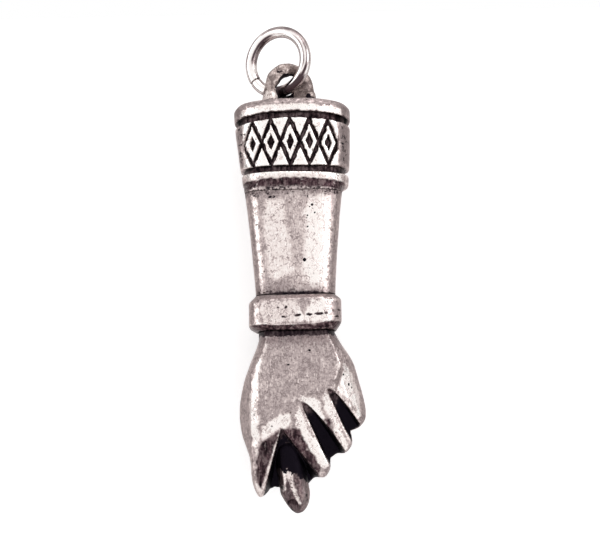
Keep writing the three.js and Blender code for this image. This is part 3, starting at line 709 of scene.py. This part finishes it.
# These two run together in the casting, so nothing black collects where they meet
for node in ("cuff_base", "forearm"):
    piece = castPieces[node]
    z = points(piece)[:, 2]
    flat = np.empty(len(z), np.float32)
    piece.data.attributes["hollow"].data.foreach_get("value", flat)
    meet = ease(wear["meetHeight"] - np.abs(z - armTopZ), 0, 0.12)
    paint(piece, "hollow", flat * (1 - meet) + np.minimum(flat, wear["meetHollow"]) * meet)
print("stage: wear read")


# Where the polishing wheel reached, and where the facets caught the light, painted as highlights: facets seen
# from the front, x from the arm's axis and z up. Those of the fist have their z from the wrist, the others from
# the ring's top.
polishedAndHighlit = {
    "fist": [
        [(-3.61, -2.71), (-3.45, -2.81), (-3.68, -3.53), (-3.75, -4.78), (-3.86, -5.74), (-3.92, -7.18),
         (-3.87, -8.14), (-3.85, -9.09), (-3.74, -9.86), (-3.81, -11.0), (-4.17, -12.4), (-4.25, -11.47),
         (-4.52, -10.32), (-4.64, -9.08), (-4.72, -8.12), (-4.65, -6.68), (-4.48, -5.24), (-4.22, -4.19),
         (-3.92, -3.33)],
        [(-3.54, -9.39), (-2.9, -8.83), (-1.83, -8.18), (-0.87, -8.01), (-0.68, -8.3), (-0.79, -9.06),
         (-1.09, -9.34), (-1.76, -9.42), (-2.25, -9.79), (-2.84, -10.35), (-3.51, -10.53), (-3.58, -10.05)],
        [(0.11, -7.26), (0.25, -7.55), (0.48, -8.03), (0.66, -8.71), (1.02, -9.67), (1.58, -10.54),
         (2.14, -11.51), (2.79, -12.47), (2.96, -13.04), (2.47, -13.51), (2.09, -13.31), (1.54, -12.35),
         (0.98, -11.48), (0.52, -10.62), (0.06, -9.65), (-0.31, -9.17), (-0.35, -8.5), (-0.09, -7.83)],
        [(0.17, -6.69), (0.52, -6.41), (1.29, -6.47), (2.05, -6.82), (2.33, -7.4), (2.5, -8.17),
         (2.59, -8.65), (2.2, -8.55), (1.64, -8.06), (1.07, -7.47), (0.6, -7.08), (0.27, -6.88)],
        [(2.6, -5.87), (2.8, -5.78), (2.84, -6.07), (3.21, -6.85), (3.57, -7.81), (3.84, -8.77),
         (4.11, -9.54), (4.47, -10.41), (4.8, -11.18), (4.6, -11.75), (4.34, -11.65), (3.9, -10.21),
         (3.52, -9.72), (3.17, -8.57), (2.7, -8.08), (2.47, -7.31), (2.49, -6.45)],
        [(4.45, -3.1), (5.1, -3.75), (5.62, -4.78), (5.98, -5.94), (6.12, -7.3), (6.12, -8.34),
         (5.85, -8.91), (5.64, -7.85), (5.22, -7.18), (4.76, -6.59), (4.09, -6.1), (3.81, -5.8),
         (4.12, -5.13), (4.34, -4.18)],
    ],
    "forearm": [
        [(-2.79, -17.11), (-0.84, -17.23), (-0.72, -19.38), (-0.41, -20.62), (-0.29, -22.67),
         (-0.08, -24.15), (-0.17, -24.56), (-1.72, -25.09), (-2.53, -24.91), (-2.75, -23.44),
         (-2.95, -20.98), (-3.08, -19.33), (-2.97, -18.09)],
        [(1.46, -16.7), (3.42, -16.82), (3.6, -19.47), (3.5, -22.76), (3.15, -24.79), (2.95, -25.85),
         (1.5, -25.9), (0.95, -25.31), (0.57, -23.92), (0.84, -22.7), (1.04, -21.06), (0.93, -18.59),
         (1.28, -17.61)],
        [(-4.08, -16.0), (-3.84, -16.09), (-3.5, -17.67), (-3.46, -20.14), (-3.33, -22.2), (-3.0, -24.25),
         (-2.96, -26.29), (-3.37, -26.61), (-3.53, -24.24), (-3.74, -22.19), (-3.93, -19.31), (-4.1, -16.83)],
    ],
    "wrist_band": [
        [(-3.37, -27.37), (-2.0, -27.28), (-0.55, -27.15), (0.1, -27.12), (0.4, -28.1), (1.34, -29.25),
         (0.22, -29.19), (-1.39, -29.27), (-3.25, -29.52), (-3.07, -28.67), (-3.47, -28.02)],
        [(1.47, -27.07), (3.57, -27.07), (3.52, -29.21), (1.35, -29.21), (0.71, -28.75), (1.05, -28.11)],
        [(-4.02, -27.36), (-3.66, -27.37), (-3.59, -28.01), (-3.49, -29.47), (-3.82, -29.54),
         (-4.08, -28.33)],
    ],
}
brownShadedFacets = [
    [(-2.93, -10.45), (-2.25, -9.89), (-1.86, -9.71), (-1.97, -10.47), (-2.27, -11.13), (-2.58, -11.98),
     (-2.99, -13.2), (-3.39, -14.33), (-3.69, -15.27), (-4.02, -14.79), (-4.15, -13.84), (-4.07, -12.42),
     (-3.76, -11.19), (-3.52, -10.72)],
    [(-1.76, -9.47), (-0.99, -9.44), (0.06, -9.56), (0.62, -10.62), (1.17, -11.58), (1.82, -12.73),
     (2.1, -13.5), (1.9, -14.3), (0.85, -13.5), (0.3, -12.6), (-0.2, -11.75), (-0.9, -10.85), (-1.35, -10.3),
     (-1.7, -9.95)],
    [(2.39, -8.65), (3.12, -8.62), (3.15, -9.33), (3.51, -10.2), (4.06, -11.17), (3.96, -11.54),
     (3.31, -10.67), (2.85, -9.71)],
]
indexLine = [(-1.68, -9.82), (-2.3, -11.43), (-2.8, -12.67), (-3.32, -14.38), (-3.63, -15.61)]
thumbRidgeHighlights = [
    [(-1.35, -13.5), (-1.42, -14.6), (-1.5, -15.3)],
    [(-0.8, -13.5), (-0.72, -14.7), (-0.48, -15.6), (-0.1, -16.7)],
    [(-1.1, -13.6), (-1.0, -14.3)],
]
# Spots: x, z, half width and half height
bandMarks = [
    (-1.14, -28.71, 0.35, 0.06), (0.15, -28.58, 0.3, 0.12), (1.28, -28.52, 0.32, 0.13),
    (2.25, -28.46, 0.42, 0.13), (2.98, -28.39, 0.15, 0.12), (-1.73, -27.81, 0.12, 0.12),
    (-0.96, -27.79, 0.11, 0.12), (4.19, -28.1, 0.2, 0.08), (3.93, -28.74, 0.25, 0.07),
]
armPits = [
    (0.95, -23.15, 0.15, 0.19), (1.8, -17.75, 0.12, 0.12), (1.55, -17.95, 0.08, 0.08),
    (1.35, -18.8, 0.09, 0.1), (2.05, -18.55, 0.08, 0.1), (1.35, -19.9, 0.1, 0.08), (-2.3, -16.95, 0.15, 0.1),
    (-1.9, -16.95, 0.12, 0.08),
]
fingerTips = [(2.95, -13.9, 0.75, 0.75), (4.85, -11.6, 0.7, 0.7), (6.35, -9.2, 0.45, 0.7)]
handPits = [
    (-0.85, -3.35, 0.1, 0.1), (1.25, -2.0, 0.14, 0.08), (4.5, -4.4, 0.12, 0.06), (5.0, -5.35, 0.09, 0.14),
    (-2.9, -2.2, 0.05, 0.05),
]
friezeMarks = [
    (5.05, -10.0, 0.07, 0.2), (5.12, -10.9, 0.06, 0.3), (5.0, -11.6, 0.09, 0.1), (5.05, -12.1, 0.07, 0.3),
    (5.3, -12.6, 0.06, 0.1), (5.1, -13.1, 0.1, 0.2), (5.42, -11.3, 0.05, 0.14), (-5.28, -9.9, 0.07, 0.14),
    (-5.22, -10.6, 0.06, 0.24), (-5.2, -11.4, 0.1, 0.1), (-5.18, -12.2, 0.07, 0.4), (-5.1, -13.0, 0.08, 0.2),
]
eyePits = [
    (-1.22, -4.1, 0.22, 0.1), (-0.95, -3.98, 0.12, 0.08), (-0.62, -3.75, 0.07, 0.06),
    (1.75, -6.25, 0.22, 0.3), (2.1, -6.5, 0.3, 0.2),
]

# How the film lies on each casting: 0 is polished white, 1 the grey film, more is darker. The white stands also
# for painted highlights, the grey also for painted dark reflections and painted shade.
filmAndPaintedLight = {
    "chamfer": 1.15, "armLeft": 0.2, "armMiddleReflection": 0.76, "armSideFilmAndShade": 0.56, "armSoft": 0.42,
    "bandLeft": 0.3, "bandTop": 1.1, "side": 0.62, "palm": 0.62, "plain": 0.8, "eye": 1.0, "thumb": 1.3,
    "baseRimHighlight": 0.28, "drum": 1.12, "foot": 0.62, "armEnds": 0.62,
}


def facetEdge(outlines, x, z):
    return np.min([outlineDistance(o, x, z) for o in outlines], 0)


def spots(places, x, z):
    return np.max([ease(1.35 - np.hypot((x - a) / w, (z - b) / h), 0.0, 0.6) for a, b, w, h in places], 0)


# tone: see the film table above, which carries painted highlights and dark reflections too; brown: reddish
# sulphide, and in places painted shade and dark reflection; the black layer: oxide in hollows, and painted shade
# in places
for node, piece in castPieces.items():
    co, no = points(piece), normals(piece)
    x, y, z = co[:, 0] - axisX, co[:, 1] - axisY, co[:, 2]
    ny, nz = no[:, 1], no[:, 2]
    fray = 0.11 * ripple(co, 0.55, 17) + 0.07 * ripple(co, 0.22, 5)
    front, back = ease(-ny, 0.15, 0.3), ease(ny, 0.0, 0.5)
    # by default the grey film, which also stands for painted shade on the sides that turn from the light
    tone = np.full(len(co), filmAndPaintedLight["side"])
    brown, oxideAndShade = np.zeros(len(co)), np.zeros(len(co))
    if node == "cuff_top":
        # from the chamfer's lower edge
        rise = z - (cuffTopZ - 1.05 - 0.45 * (x / frieze["halfWidth"]) ** 2) + fray
        face = front * ease(5.15 - np.abs(x + 0.1), 0, 0.35)
        # the rim's front painted white: polish, and a painted highlight
        rimFrontHighlight = face * ease(rise, 0.06, 0.16) * ease(-rise, -0.82, -0.66)
        tone = filmAndPaintedLight["chamfer"] + 0.15 * (1 - face) - 0.5 * ease(nz, 0.8, 0.97)
        tone = tone * (1 - rimFrontHighlight)
        brown = front * ease(-rise, -0.12, -0.02)
        oxideAndShade = 0.5 * brown
    if node == "cuff_base":
        # from the rim's lower edge
        rise = z - (armTopZ + 1.08 - 0.3 * (x / 5.3) ** 2 - 0.02 * x) + fray
        face = front * ease(5.0 - np.abs(x - 0.1), 0, 0.35)
        # below the rim, brown and black: oxide in the cove, and painted shade under the rim
        undersideOxideAndShade = ease(-rise, -0.16, -0.04) * ease(5.2 - np.abs(x - 0.1), 0, 0.3) * (y < 0)
        foot = ease(-rise + 2 * fray, 0.6, 0.85) * undersideOxideAndShade
        # the rim's front painted white: polish, and a painted highlight
        tone = (filmAndPaintedLight["side"] * (1 - face) + filmAndPaintedLight["baseRimHighlight"] * face) * (1 - foot) + filmAndPaintedLight["foot"] * foot
        brown = undersideOxideAndShade * (1 - 0.8 * foot)
        oxideAndShade = undersideOxideAndShade * 0.46
    if node == "cuff_frieze":
        panel = front * ease(frieze["panelHalfWidth"] - np.abs(x - frieze["panelShift"]), -0.1, 0.2)
        tone = filmAndPaintedLight["side"] + (filmAndPaintedLight["drum"] - filmAndPaintedLight["side"]) * ease(-ny, 0.05, 0.35) - 1.02 * panel
        brown = friezeDeep
        oxideAndShade = np.maximum(friezeDeep * 0.95, spots(friezeMarks, x + 3 * fray, z) * front)
    # facets painted white, polish and painted highlight; the rest of the front grey film, which also stands for a
    # painted dark reflection; the sides grey film and painted shade
    if node in polishedAndHighlit:
        h = z - fistTopZ if node == "fist" else z
        edge = facetEdge(polishedAndHighlit[node], x, h) + 1.6 * fray
        soft = np.where(x > -3.3, filmAndPaintedLight["armSoft"], 0.14) if node == "forearm" else 0.16
        out = ease(edge / soft, -1, 0.7)
        tone = np.where(ny < 0, filmAndPaintedLight["plain"] * out * front + (1 - front) * filmAndPaintedLight["armSideFilmAndShade"], tone)
    if node == "forearm":
        # a painted dark reflection: a grey band down the middle of the forearm's front, between its polished
        # facets
        middle = ease(x, -0.9, -0.2) * ease(-x, -1.3, -0.7)
        inside = filmAndPaintedLight["armLeft"] * ease(-x, -0.4, 0.4) * ease(x, -3.3, -3.0)
        mixed = (tone - (1 - filmAndPaintedLight["armMiddleReflection"]) * middle * out) * (1 - inside) + inside
        tone = np.where(front > 0, mixed, tone)
        high, low = ease(z + 2 * fray, armTopZ - 1.15, armTopZ - 0.4), ease(-z + 2 * fray, 25.1, 26.4)
        tone = np.maximum(tone, filmAndPaintedLight["armEnds"] * np.maximum(high, low))
        brown = 0.35 * np.maximum(ease(z + fray, armTopZ - 0.7, armTopZ - 0.1), low * front)
        oxideAndShade = np.maximum(0.4 * np.maximum(high, low), spots(armPits, x, z) * front)
    if node == "wrist_band":
        # downward faces painted brown and black: oxide, and the painted shadow under the band's lower edge
        top, undersideOxideAndShade = ease(nz, 0.3, 0.6), ease(-nz + fray, 0.25, 0.5)
        tone = tone + (filmAndPaintedLight["bandTop"] - tone) * top * (y < 0)
        tone = np.where((ny < 0) & (x < 0.2), np.maximum(tone, filmAndPaintedLight["bandLeft"] * front), tone)
        marks = spots(bandMarks, x + fray, z + 0.5 * fray) * ease(-ny, 0.0, 0.2)
        brown = np.maximum(undersideOxideAndShade, 0.8 * marks)
        oxideAndShade = np.maximum(0.9 * marks, 0.3 * undersideOxideAndShade)
    if node == "fist":
        inGroove = sunk * ease(-ny, -0.4, -0.1) * ease(-y, -0.9, -0.6)
        wrist = ease(h + 1.5 * fray, -2.1, -0.7) * (1 - back)
        oxideAndShade = np.maximum(ease(h + 1.5 * fray, -0.85, -0.3), 0.22 * wrist)
        oxideAndShade = oxideAndShade * (1 - 0.6 * back) + spots(handPits, x, h) * front * (1 - onThumb)
        # facets painted brown and darkened: brown oxide, and the painted dark reflection of facets turned from
        # the light; and the grooves with their red lips and black floors
        red = ease(-facetEdge(brownShadedFacets, x, h) + fray, -0.12, 0.12) * (y < 0) * (1 - onThumb)
        red = red * ease(lineDistance(indexLine, x, h), 0.02, 0.14)
        brown = np.maximum(0.5 * wrist, np.maximum(red, ease(inGroove, 0.05, 0.15)))
        brown *= 1 - ease(inGroove + 1.5 * fray, 0.3, 0.6)
        creases = np.min([lineDistance(line, x, h) for line in palmGrooves], 0) + 0.6 * fray
        redFacetDark = 0.4 + 0.14 * np.maximum(ease(-h, 10.8, 13), ease(-x, 1.6, 2))
        blackFloor = ease(inGroove + 1.5 * fray, 0.15, 0.45)
        for more in (blackFloor, back * ease(0.17 - creases, -0.1, 0.06), red * redFacetDark):
            oxideAndShade = np.maximum(oxideAndShade, more)
        tone = tone + 0.5 * spots(fingerTips, x + 2 * fray, h + fray) * (1 - back)
        # the thumb: painted highlights along its ridges, on brown, black above and on its right, a dark nail
        thumb = onThumb * (ny < 0.2)
        ridgeHighlight = ease(0.2 - np.min([lineDistance(r, x, h) for r in thumbRidgeHighlights], 0) + 1.6 * fray, -0.1, 0.1)
        nail = ease(1 - np.hypot((x + 0.72) / 0.6, (h + 16.9) / 0.68), -0.1, 0.2)
        upper = ease(h + 5 * fray + 0.5 * (x + 1), -13.95, -13.4)
        rightSide = ease(x + 0.3 * (h + 15), -0.1, 0.35) * ease(-x, -1.1, -0.8)
        tone = tone * (1 - thumb) + thumb * (filmAndPaintedLight["thumb"] - 1.0 * ridgeHighlight)
        brown = brown * (1 - thumb) + thumb * np.maximum(nail, 0.85 * (1 - ridgeHighlight) * ease(-x, -0.9, 0.0))
        brown = brown * (1 - thumb * upper)
        oxideAndShade = np.maximum(oxideAndShade, thumb * np.maximum(upper, 0.9 * nail + 0.42 * rightSide))
    tone = tone * (1 - back) + filmAndPaintedLight["palm"] * back
    for layer, values, low, high in (("tone", tone, -0.2, 1.4), ("brown", brown, 0, 1), ("oxideAndShade", oxideAndShade, 0, 1)):
        paint(piece, layer, np.clip(values, low, high))

co, no = points(eyePiece), normals(eyePiece)
fray = 0.3 * ripple(co, 0.5, 3)
x, z = co[:, 0] - axisX, co[:, 2]
foot = ease(-z, 5.9, 6.6) * ease(-x, 0.6, 1.2)
# painted shade: the walls of the hole, the solder inside the right foot and the floor of the hole under the ring
# are painted black
toHole = np.stack((eye["hole"][0] - x, eye["hole"][1] - z), 1)
holeWallShade = ease((no[:, [0, 2]] * toHole).sum(1) / np.linalg.norm(toHole, axis=1), 0.58, 0.85)
shadedSolder = ease(-no[:, 0], 0.0, 0.5) * ease(x, 0, 0.2) * ease(-z, 4.9, 5.4)
holeFloorShadow = ease(-z, 5.8, 5.95) * ease(x, -1.45, -1.3) * ease(-x, -0.4, -0.1)
paint(eyePiece, "tone", filmAndPaintedLight["eye"] - 0.85 * foot + (1 + 2 * foot) * fray)
paint(eyePiece, "brown", np.full(len(co), 0.1))
paint(eyePiece, "oxideAndShade", np.maximum(np.maximum(0.85 * holeWallShade, 0.8 * shadedSolder), holeFloorShadow) + spots(eyePits, x, z))
print("stage: painted")


# Materials
def colour(code):
    parts = [int(code[i:i + 2], 16) / 255 for i in (1, 3, 5)]
    return (*[c / 12.92 if c <= 0.04045 else ((c + 0.055) / 1.055) ** 2.4 for c in parts], 1)


# Inputs go by name or by place: for MapRange value, from low, from high, to low and to high. A node given as
# an input stands for its first output in use.
def addNode(tree, kind, inputs=(), operation=None, stops=(), **settings):
    node = tree.nodes.new("ShaderNode" + kind)
    if operation:
        node.operation = operation
    for key, value in settings.items():
        setattr(node, key, value)
    for key, value in inputs.items() if isinstance(inputs, dict) else enumerate(inputs):
        if isinstance(value, bpy.types.Node):
            value = next(out for out in value.outputs if out.enabled)
        if isinstance(value, bpy.types.NodeSocket):
            tree.links.new(value, node.inputs[key])
        else:
            node.inputs[key].default_value = value
    for k, (place, code) in enumerate(stops):
        stop = node.color_ramp.elements[k] if k < 2 else node.color_ramp.elements.new(place)
        stop.position, stop.color = place, colour(code)
    return node


def newMaterial(name):
    material = bpy.data.materials.new(name)
    material.use_nodes = True
    material.node_tree.nodes.clear()
    return material, partial(addNode, material.node_tree)


# Cast sterling silver, dipped in liver of sulphur and rubbed back by hand: black stays in every hollow,
# a warm grey film on the flats, bright metal on edges and proud ornament, with casting pits and fine scratches
castSilver = {
    "silver": [(0, "#FFFAF7"), (0.17, "#FBF3EF"), (0.36, "#EADDD9"), (0.55, "#CDBEBB"), (0.76, "#AE9F9E"),
               (1, "#8F8281")],
    "brown": [(0.3, "#20161A"), (0.47, "#49363B"), (0.6, "#6E5A5C"), (0.75, "#9C8A88")],
    "hollow": [(0.36, "#150F12"), (0.5, "#3E3033"), (0.66, "#6E5F60")],
    "void": "#17131A", "pit": "#453630", "gloss": 0.2,
    "broad": 3.2, "mottle": 0.7, "curl": 0.42, "grain": 0.26, "speck": 0.16,
    "pitSpacing": 0.56, "pitSize": 0.12, "streakWidth": 0.3, "streakLength": 1.1,
    "scratchLength": 0.8, "scratchWidth": 0.09,  # real ones are finer: drawn as coarse as the picture can show
}


def oxidisedSilver(name, v):
    material, add = newMaterial(name)
    place = add("TexCoord").outputs["Object"]
    hollow, shade, tone, brown, oxideAndShade = [
        add("Attribute", attribute_name=layer).outputs["Fac"]
        for layer in ("hollow", "shade", "tone", "brown", "oxideAndShade")]

    # noises of several sizes, in millimetres, with their detail, roughness and distortion
    mottle, grain, speck, curl, broad = [
        add("TexNoise", {"Vector": place, "Scale": 1000 / v[size], "Detail": d, "Roughness": r,
                         "Distortion": w})
        for size, d, r, w in (
            ("mottle", 5, 0.62, 0.4), ("grain", 3, 0.6, 0), ("speck", 1, 0.5, 0), ("curl", 2, 0.5, 0.9),
            ("broad", 2, 0.5, 0))]
    # and noises drawn out along a slant: short scratches, dark and bright, and streaks along the fingers
    drawn = []
    for kind, slant, detail in (("scratch", (0.2, 0.7, 0.1), 1), ("scratch", (0.1, -0.9, 0.3), 1),
                                ("streak", (0, -0.35, 0), 3)):
        thin, long = 1000 / v[kind + "Width"], 1000 / v[kind + "Length"]
        hair = add("Mapping", {"Vector": place, "Rotation": slant, "Scale": (thin, thin, long)})
        drawn.append(add("TexNoise", {"Vector": hair, "Scale": 1.0, "Detail": detail}))
    scratch, glint, streak = drawn
    scratch, glint = add("MapRange", (scratch, 0.63, 0.74)), add("MapRange", (glint, 0.62, 0.73))
    mottleOff, grainOff, speckOff, curlOff, streakOff = [
        add("Math", (value, 0.5), "SUBTRACT") for value in (mottle, grain, speck, curl, streak)]

    # casting pits: a dark dot in some of the cells
    cells = add("TexVoronoi", {"Vector": place, "Scale": 1000 / v["pitSpacing"]})
    chance = add("SeparateColor", (cells.outputs["Color"],))
    size = add("Math", (chance.outputs[1], v["pitSize"]), "MULTIPLY")
    far = add("Math", (cells.outputs["Distance"], v["pitSpacing"]), "MULTIPLY")
    far = add("Math", (speckOff, 0.24, far), "MULTIPLY_ADD")
    far = add("Math", (size, far), "SUBTRACT")
    dot = add("MapRange", (far, -0.02, 0.04))
    some = add("Math", (chance.outputs[0], broad), "ADD")
    some = add("MapRange", (some, 0.92, 1.05, 0.0, 0.85))
    dot = add("Math", (dot, some), "MULTIPLY")

    # curled hair lines left by the casting sand
    line = add("Math", (curlOff,), "ABSOLUTE")
    line = add("MapRange", (line, 0.055, 0.015))
    broken = add("MapRange", (mottle, 0.46, 0.53))
    line = add("Math", (line, broken), "MULTIPLY")

    # black where the black layer is painted, oxide and in places painted shade, and where the shape is hollow,
    # ragged at its border
    black = 0.0
    for ragged, parts, low, high in (
            (oxideAndShade, ((grainOff, 1.1), (mottleOff, 0.7)), 0.42, 0.6),
            (shade, ((mottleOff, 0.08),), 0.53, 0.6),
            (hollow, ((mottleOff, 0.14), (grainOff, 0.12)), 0.5, 0.575)):
        for value, factor in parts:
            ragged = add("Math", (value, factor, ragged), "MULTIPLY_ADD")
        edge = add("MapRange", (ragged, low, high), interpolation_type="SMOOTHSTEP")
        black = add("Math", (black, edge), "MAXIMUM")

    # the film's depth, which also carries painted highlights and dark reflections, mottled and scratched, and
    # thinner on sharp edges, where the hollow (ragged last) is low
    worn = add("MapRange", (ragged, 0.3, 0.37, -0.45, 0.0))
    filmAndPaintedLight = add("Math", (tone, worn), "ADD")
    uneven = 0.0
    for value, factor in ((mottleOff, 0.36), (grainOff, 0.8), (speckOff, 0.75)):
        uneven = add("Math", (value, factor, uneven), "MULTIPLY_ADD")
    rubbed = add("MapRange", (tone, -0.1, 0.5, 0.4))
    for value, factor in ((uneven, rubbed), (line, 0.7), (scratch, 0.42), (glint, -0.42)):
        filmAndPaintedLight = add("Math", (value, factor, filmAndPaintedLight), "MULTIPLY_ADD")
    share = add("MapRange", (filmAndPaintedLight, -0.2, 1.2))
    silver = add("ValToRGB", (share,), stops=v["silver"])

    # over it reddish sulphide, which in places is also painted shade and painted dark reflection, streaked along
    # the fingers, then the pits, then the black
    reddish = add("Math", (streakOff, 0.9, grain), "MULTIPLY_ADD")
    reddish = add("ValToRGB", (reddish,), stops=v["brown"])
    patchy = add("MapRange", (mottle, 0.2, 0.42))
    patchy = add("Math", (brown, patchy), "MULTIPLY")
    marks = add("MapRange", (speck, 0.66, 0.8, 0.0, 0.5))
    marks = add("Math", (marks, dot), "MAXIMUM")
    crumb = add("Math", (streakOff, 0.8, mottle), "MULTIPLY_ADD")
    crumb = add("ValToRGB", (crumb,), stops=v["hollow"])
    blackOfOxideAndShade = add("Mix", {0: brown, 6: colour(v["void"]), 7: crumb}, data_type="RGBA")
    base = silver
    for share, over in ((patchy, reddish), (marks, colour(v["pit"])), (black, blackOfOxideAndShade)):
        base = add("Mix", {0: share, 6: base, 7: over}, data_type="RGBA")

    rough, height = v["gloss"], mottle
    for value, factor in ((filmAndPaintedLight, 0.1), (grain, 0.12)):
        rough = add("Math", (value, factor, rough), "MULTIPLY_ADD")
    dull = add("Math", (black, 0.5), "MULTIPLY")
    rough = add("Math", (rough, dull), "MAXIMUM")
    for value, factor in ((grain, 0.35), (dot, -1.0), (line, -0.3)):
        height = add("Math", (value, factor, height), "MULTIPLY_ADD")
    bump = add("Bump", {"Strength": 0.7, "Distance": 0.07 * mm, "Height": height})
    metal = {"Base Color": base, "Metallic": 1.0, "Roughness": rough, "Normal": bump}
    add("OutputMaterial", {"Surface": add("BsdfPrincipled", metal)})
    return material


# Drawn silver wire, tumbled bright: mirror-like with a thin grey bloom, with dark reflections painted round it
# and painted shade where it hangs inside the eye
wire = {
    "silver": [(0, "#FFFBF9"), (0.3, "#F3EBE8"), (0.6, "#B0A3A2"), (1, "#4E4043")],
    "bloom": 1.4, "grain": 0.2,
}


def brightWire(v):
    material, add = newMaterial("tumbledSilverWire")
    place = add("TexCoord").outputs["Object"]
    bloom = add("TexNoise", {"Vector": place, "Scale": 1000 / v["bloom"], "Detail": 4.0, "Distortion": 0.3})
    grain = add("TexNoise", {"Vector": place, "Scale": 1000 / v["grain"], "Detail": 2.0})
    filmAndPaintedLight = add("Attribute", attribute_name="paintedReflectionsAndShade").outputs["Fac"]
    for value, middle, factor in ((bloom, 0.42, 0.9), (grain, 0.5, 0.35)):
        off = add("Math", (value, middle), "SUBTRACT")
        filmAndPaintedLight = add("Math", (off, factor, filmAndPaintedLight), "MULTIPLY_ADD")
    silver = add("ValToRGB", (filmAndPaintedLight,), stops=v["silver"])
    rough = add("Math", (filmAndPaintedLight, 0.2, 0.1), "MULTIPLY_ADD")
    height = add("Math", (grain, bloom), "ADD")
    bump = add("Bump", {"Strength": 0.25, "Distance": 0.02 * mm, "Height": height})
    metal = {"Base Color": silver, "Metallic": 1.0, "Roughness": rough, "Normal": bump}
    add("OutputMaterial", {"Surface": add("BsdfPrincipled", metal)})
    return material


castMaterial = oxidisedSilver("rubbedOxidisedSilver", castSilver)
# The eye was soldered on and never polished: darker, rougher, without white
eyeMaterial = oxidisedSilver("dullSolderedSilver", {
    **castSilver, "gloss": 0.32, "mottle": 0.5, "pitSpacing": 0.4,
    "silver": [(0, "#F4EBE6"), (0.3, "#DCCFCA"), (0.55, "#B3A5A0"), (0.76, "#968884"), (1, "#746865")],
})
wireMaterial = brightWire(wire)

for node, piece in castPieces.items():
    piece.data.materials.append(castMaterial)
    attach(piece, "charm")
    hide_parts(node)
eyePiece.data.materials.append(eyeMaterial)
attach(eyePiece, "charm")
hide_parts("suspension_eye")
ringPiece.data.materials.append(wireMaterial)
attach(ringPiece, "ring")
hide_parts("jump_ring")
print("stage: materials")

# Floor, backdrop and light
studio = {
    "floorZ": -75.0, "floorHalf": 1500, "floorGlow": 0.6,
    # the paper has a window where the charm hides it, to be thin from the side, and ends low enough for the
    # charm to swing up clear of it
    "paperY": 5.3, "paperHalf": 45, "paperTop": 4, "paperGlow": 0.5,
    "window": (axisX - 2.8, axisX + 2.8, -43.5, -8.5),
    "worldStrength": 0.72,
    "lamps": [
        {"name": "leftBox", "at": (-170, -70, 20), "size": (90, 160), "watts": 0.04},
        {"name": "rightBox", "at": (150, -120, 30), "size": (80, 140), "watts": 0.08},
        {"name": "topBox", "at": (40, -80, 160), "size": (160, 100), "watts": 0.09},
    ],
    "cards": [  # grey cards out of sight, for the metal to mirror
        {"name": "backCard", "at": (0, 80, -20), "size": (460, 460), "grey": "#E2DCDB"},
        {"name": "leftCard", "at": (-120, 25, -20), "size": (30, 240), "grey": "#6B6465"},
        {"name": "rightCard", "at": (120, 25, -20), "size": (30, 240), "grey": "#6B6465"},
    ],
}


def addPlane(name, corners, material):
    plane = newPiece(name, corners, [(0, 1, 2, 3)])
    plane.data.materials.append(material)
    return plane


# White paper: the eye sees its face with the soft shadow that the charm throws on it, and nothing from behind
def shadowPaper(name, glow):
    material, add = newMaterial(name)
    path = add("LightPath")
    face = add("Math", (1.0, add("NewGeometry").outputs["Backfacing"]), "SUBTRACT")
    seen = add("Math", (path.outputs["Is Camera Ray"], face), "MULTIPLY")
    paper = add("BsdfDiffuse", {"Color": (0.8, 0.8, 0.8, 1)})
    light = add("Emission", {"Color": (1, 1, 1, 1), "Strength": glow})
    lit = add("AddShader", (paper, light))
    mixed = add("MixShader", (seen, add("BsdfTransparent"), lit))
    add("OutputMaterial", {"Surface": mixed})
    return material


z0, y0, wide = studio["floorZ"], studio["paperY"], studio["floorHalf"]
corners = [(x, y, z0) for x, y in ((-wide, -wide), (wide, -wide), (wide, wide), (-wide, wide))]
addPlane("floor", corners, shadowPaper("paleFloorPaper", studio["floorGlow"]))
paper = shadowPaper("whitePaper", studio["paperGlow"])
edge, top = studio["paperHalf"], studio["paperTop"]
left, right, low, high = studio["window"]
sheets = ((-edge, left, z0, top), (right, edge, z0, top), (left, right, z0, low), (left, right, high, top))
for k, (x1, x2, z1, z2) in enumerate(sheets):
    addPlane(f"backdrop{k}", [(x1, y0, z1), (x2, y0, z1), (x2, y0, z2), (x1, y0, z2)], paper)

for card in studio["cards"]:
    material, add = newMaterial(card["name"] + "Grey")
    add("OutputMaterial", {"Surface": add("Emission", {"Color": colour(card["grey"]), "Strength": 1.0})})
    x, y, z = card["at"]
    w, h = card["size"][0] / 2, card["size"][1] / 2
    away = Vector((x - axisX, y - axisY, 0)).normalized()
    side = Vector((-away.y, away.x, 0)) * w
    corners = [(x + a * side.x, y + a * side.y, z + b * h) for a, b in ((-1, -1), (1, -1), (1, 1), (-1, 1))]
    plane = addPlane(card["name"], corners, material)
    plane.visible_camera = plane.visible_diffuse = plane.visible_shadow = False

world = bpy.data.worlds.new("studio")
scene.world = world
world.use_nodes = True
world.node_tree.nodes.clear()
add = partial(addNode, world.node_tree)
path = add("LightPath")
plainWhite = path.outputs["Is Camera Ray"]
for ray in ("Is Glossy Ray", "Is Transmission Ray"):
    plainWhite = add("Math", (plainWhite, path.outputs[ray]), "MAXIMUM")
soft = add("Background", {"Color": (1, 1, 1, 1), "Strength": studio["worldStrength"]})
white = add("Background", {"Color": (1, 1, 1, 1), "Strength": 1.0})
add("OutputWorld", {"Surface": add("MixShader", (plainWhite, soft, white))})

for lamp in studio["lamps"]:
    data = bpy.data.lights.new(lamp["name"], "AREA")
    data.shape = "RECTANGLE"
    data.size, data.size_y = lamp["size"][0] * mm, lamp["size"][1] * mm
    data.energy = lamp["watts"]
    light = addObject(lamp["name"], data)
    light.location = Vector(lamp["at"]) * mm
    aim = Vector((axisX, axisY, -24)) * mm - light.location
    light.rotation_mode = "QUATERNION"
    light.rotation_quaternion = aim.to_track_quat("-Z", "Y")
print("stage: studio")
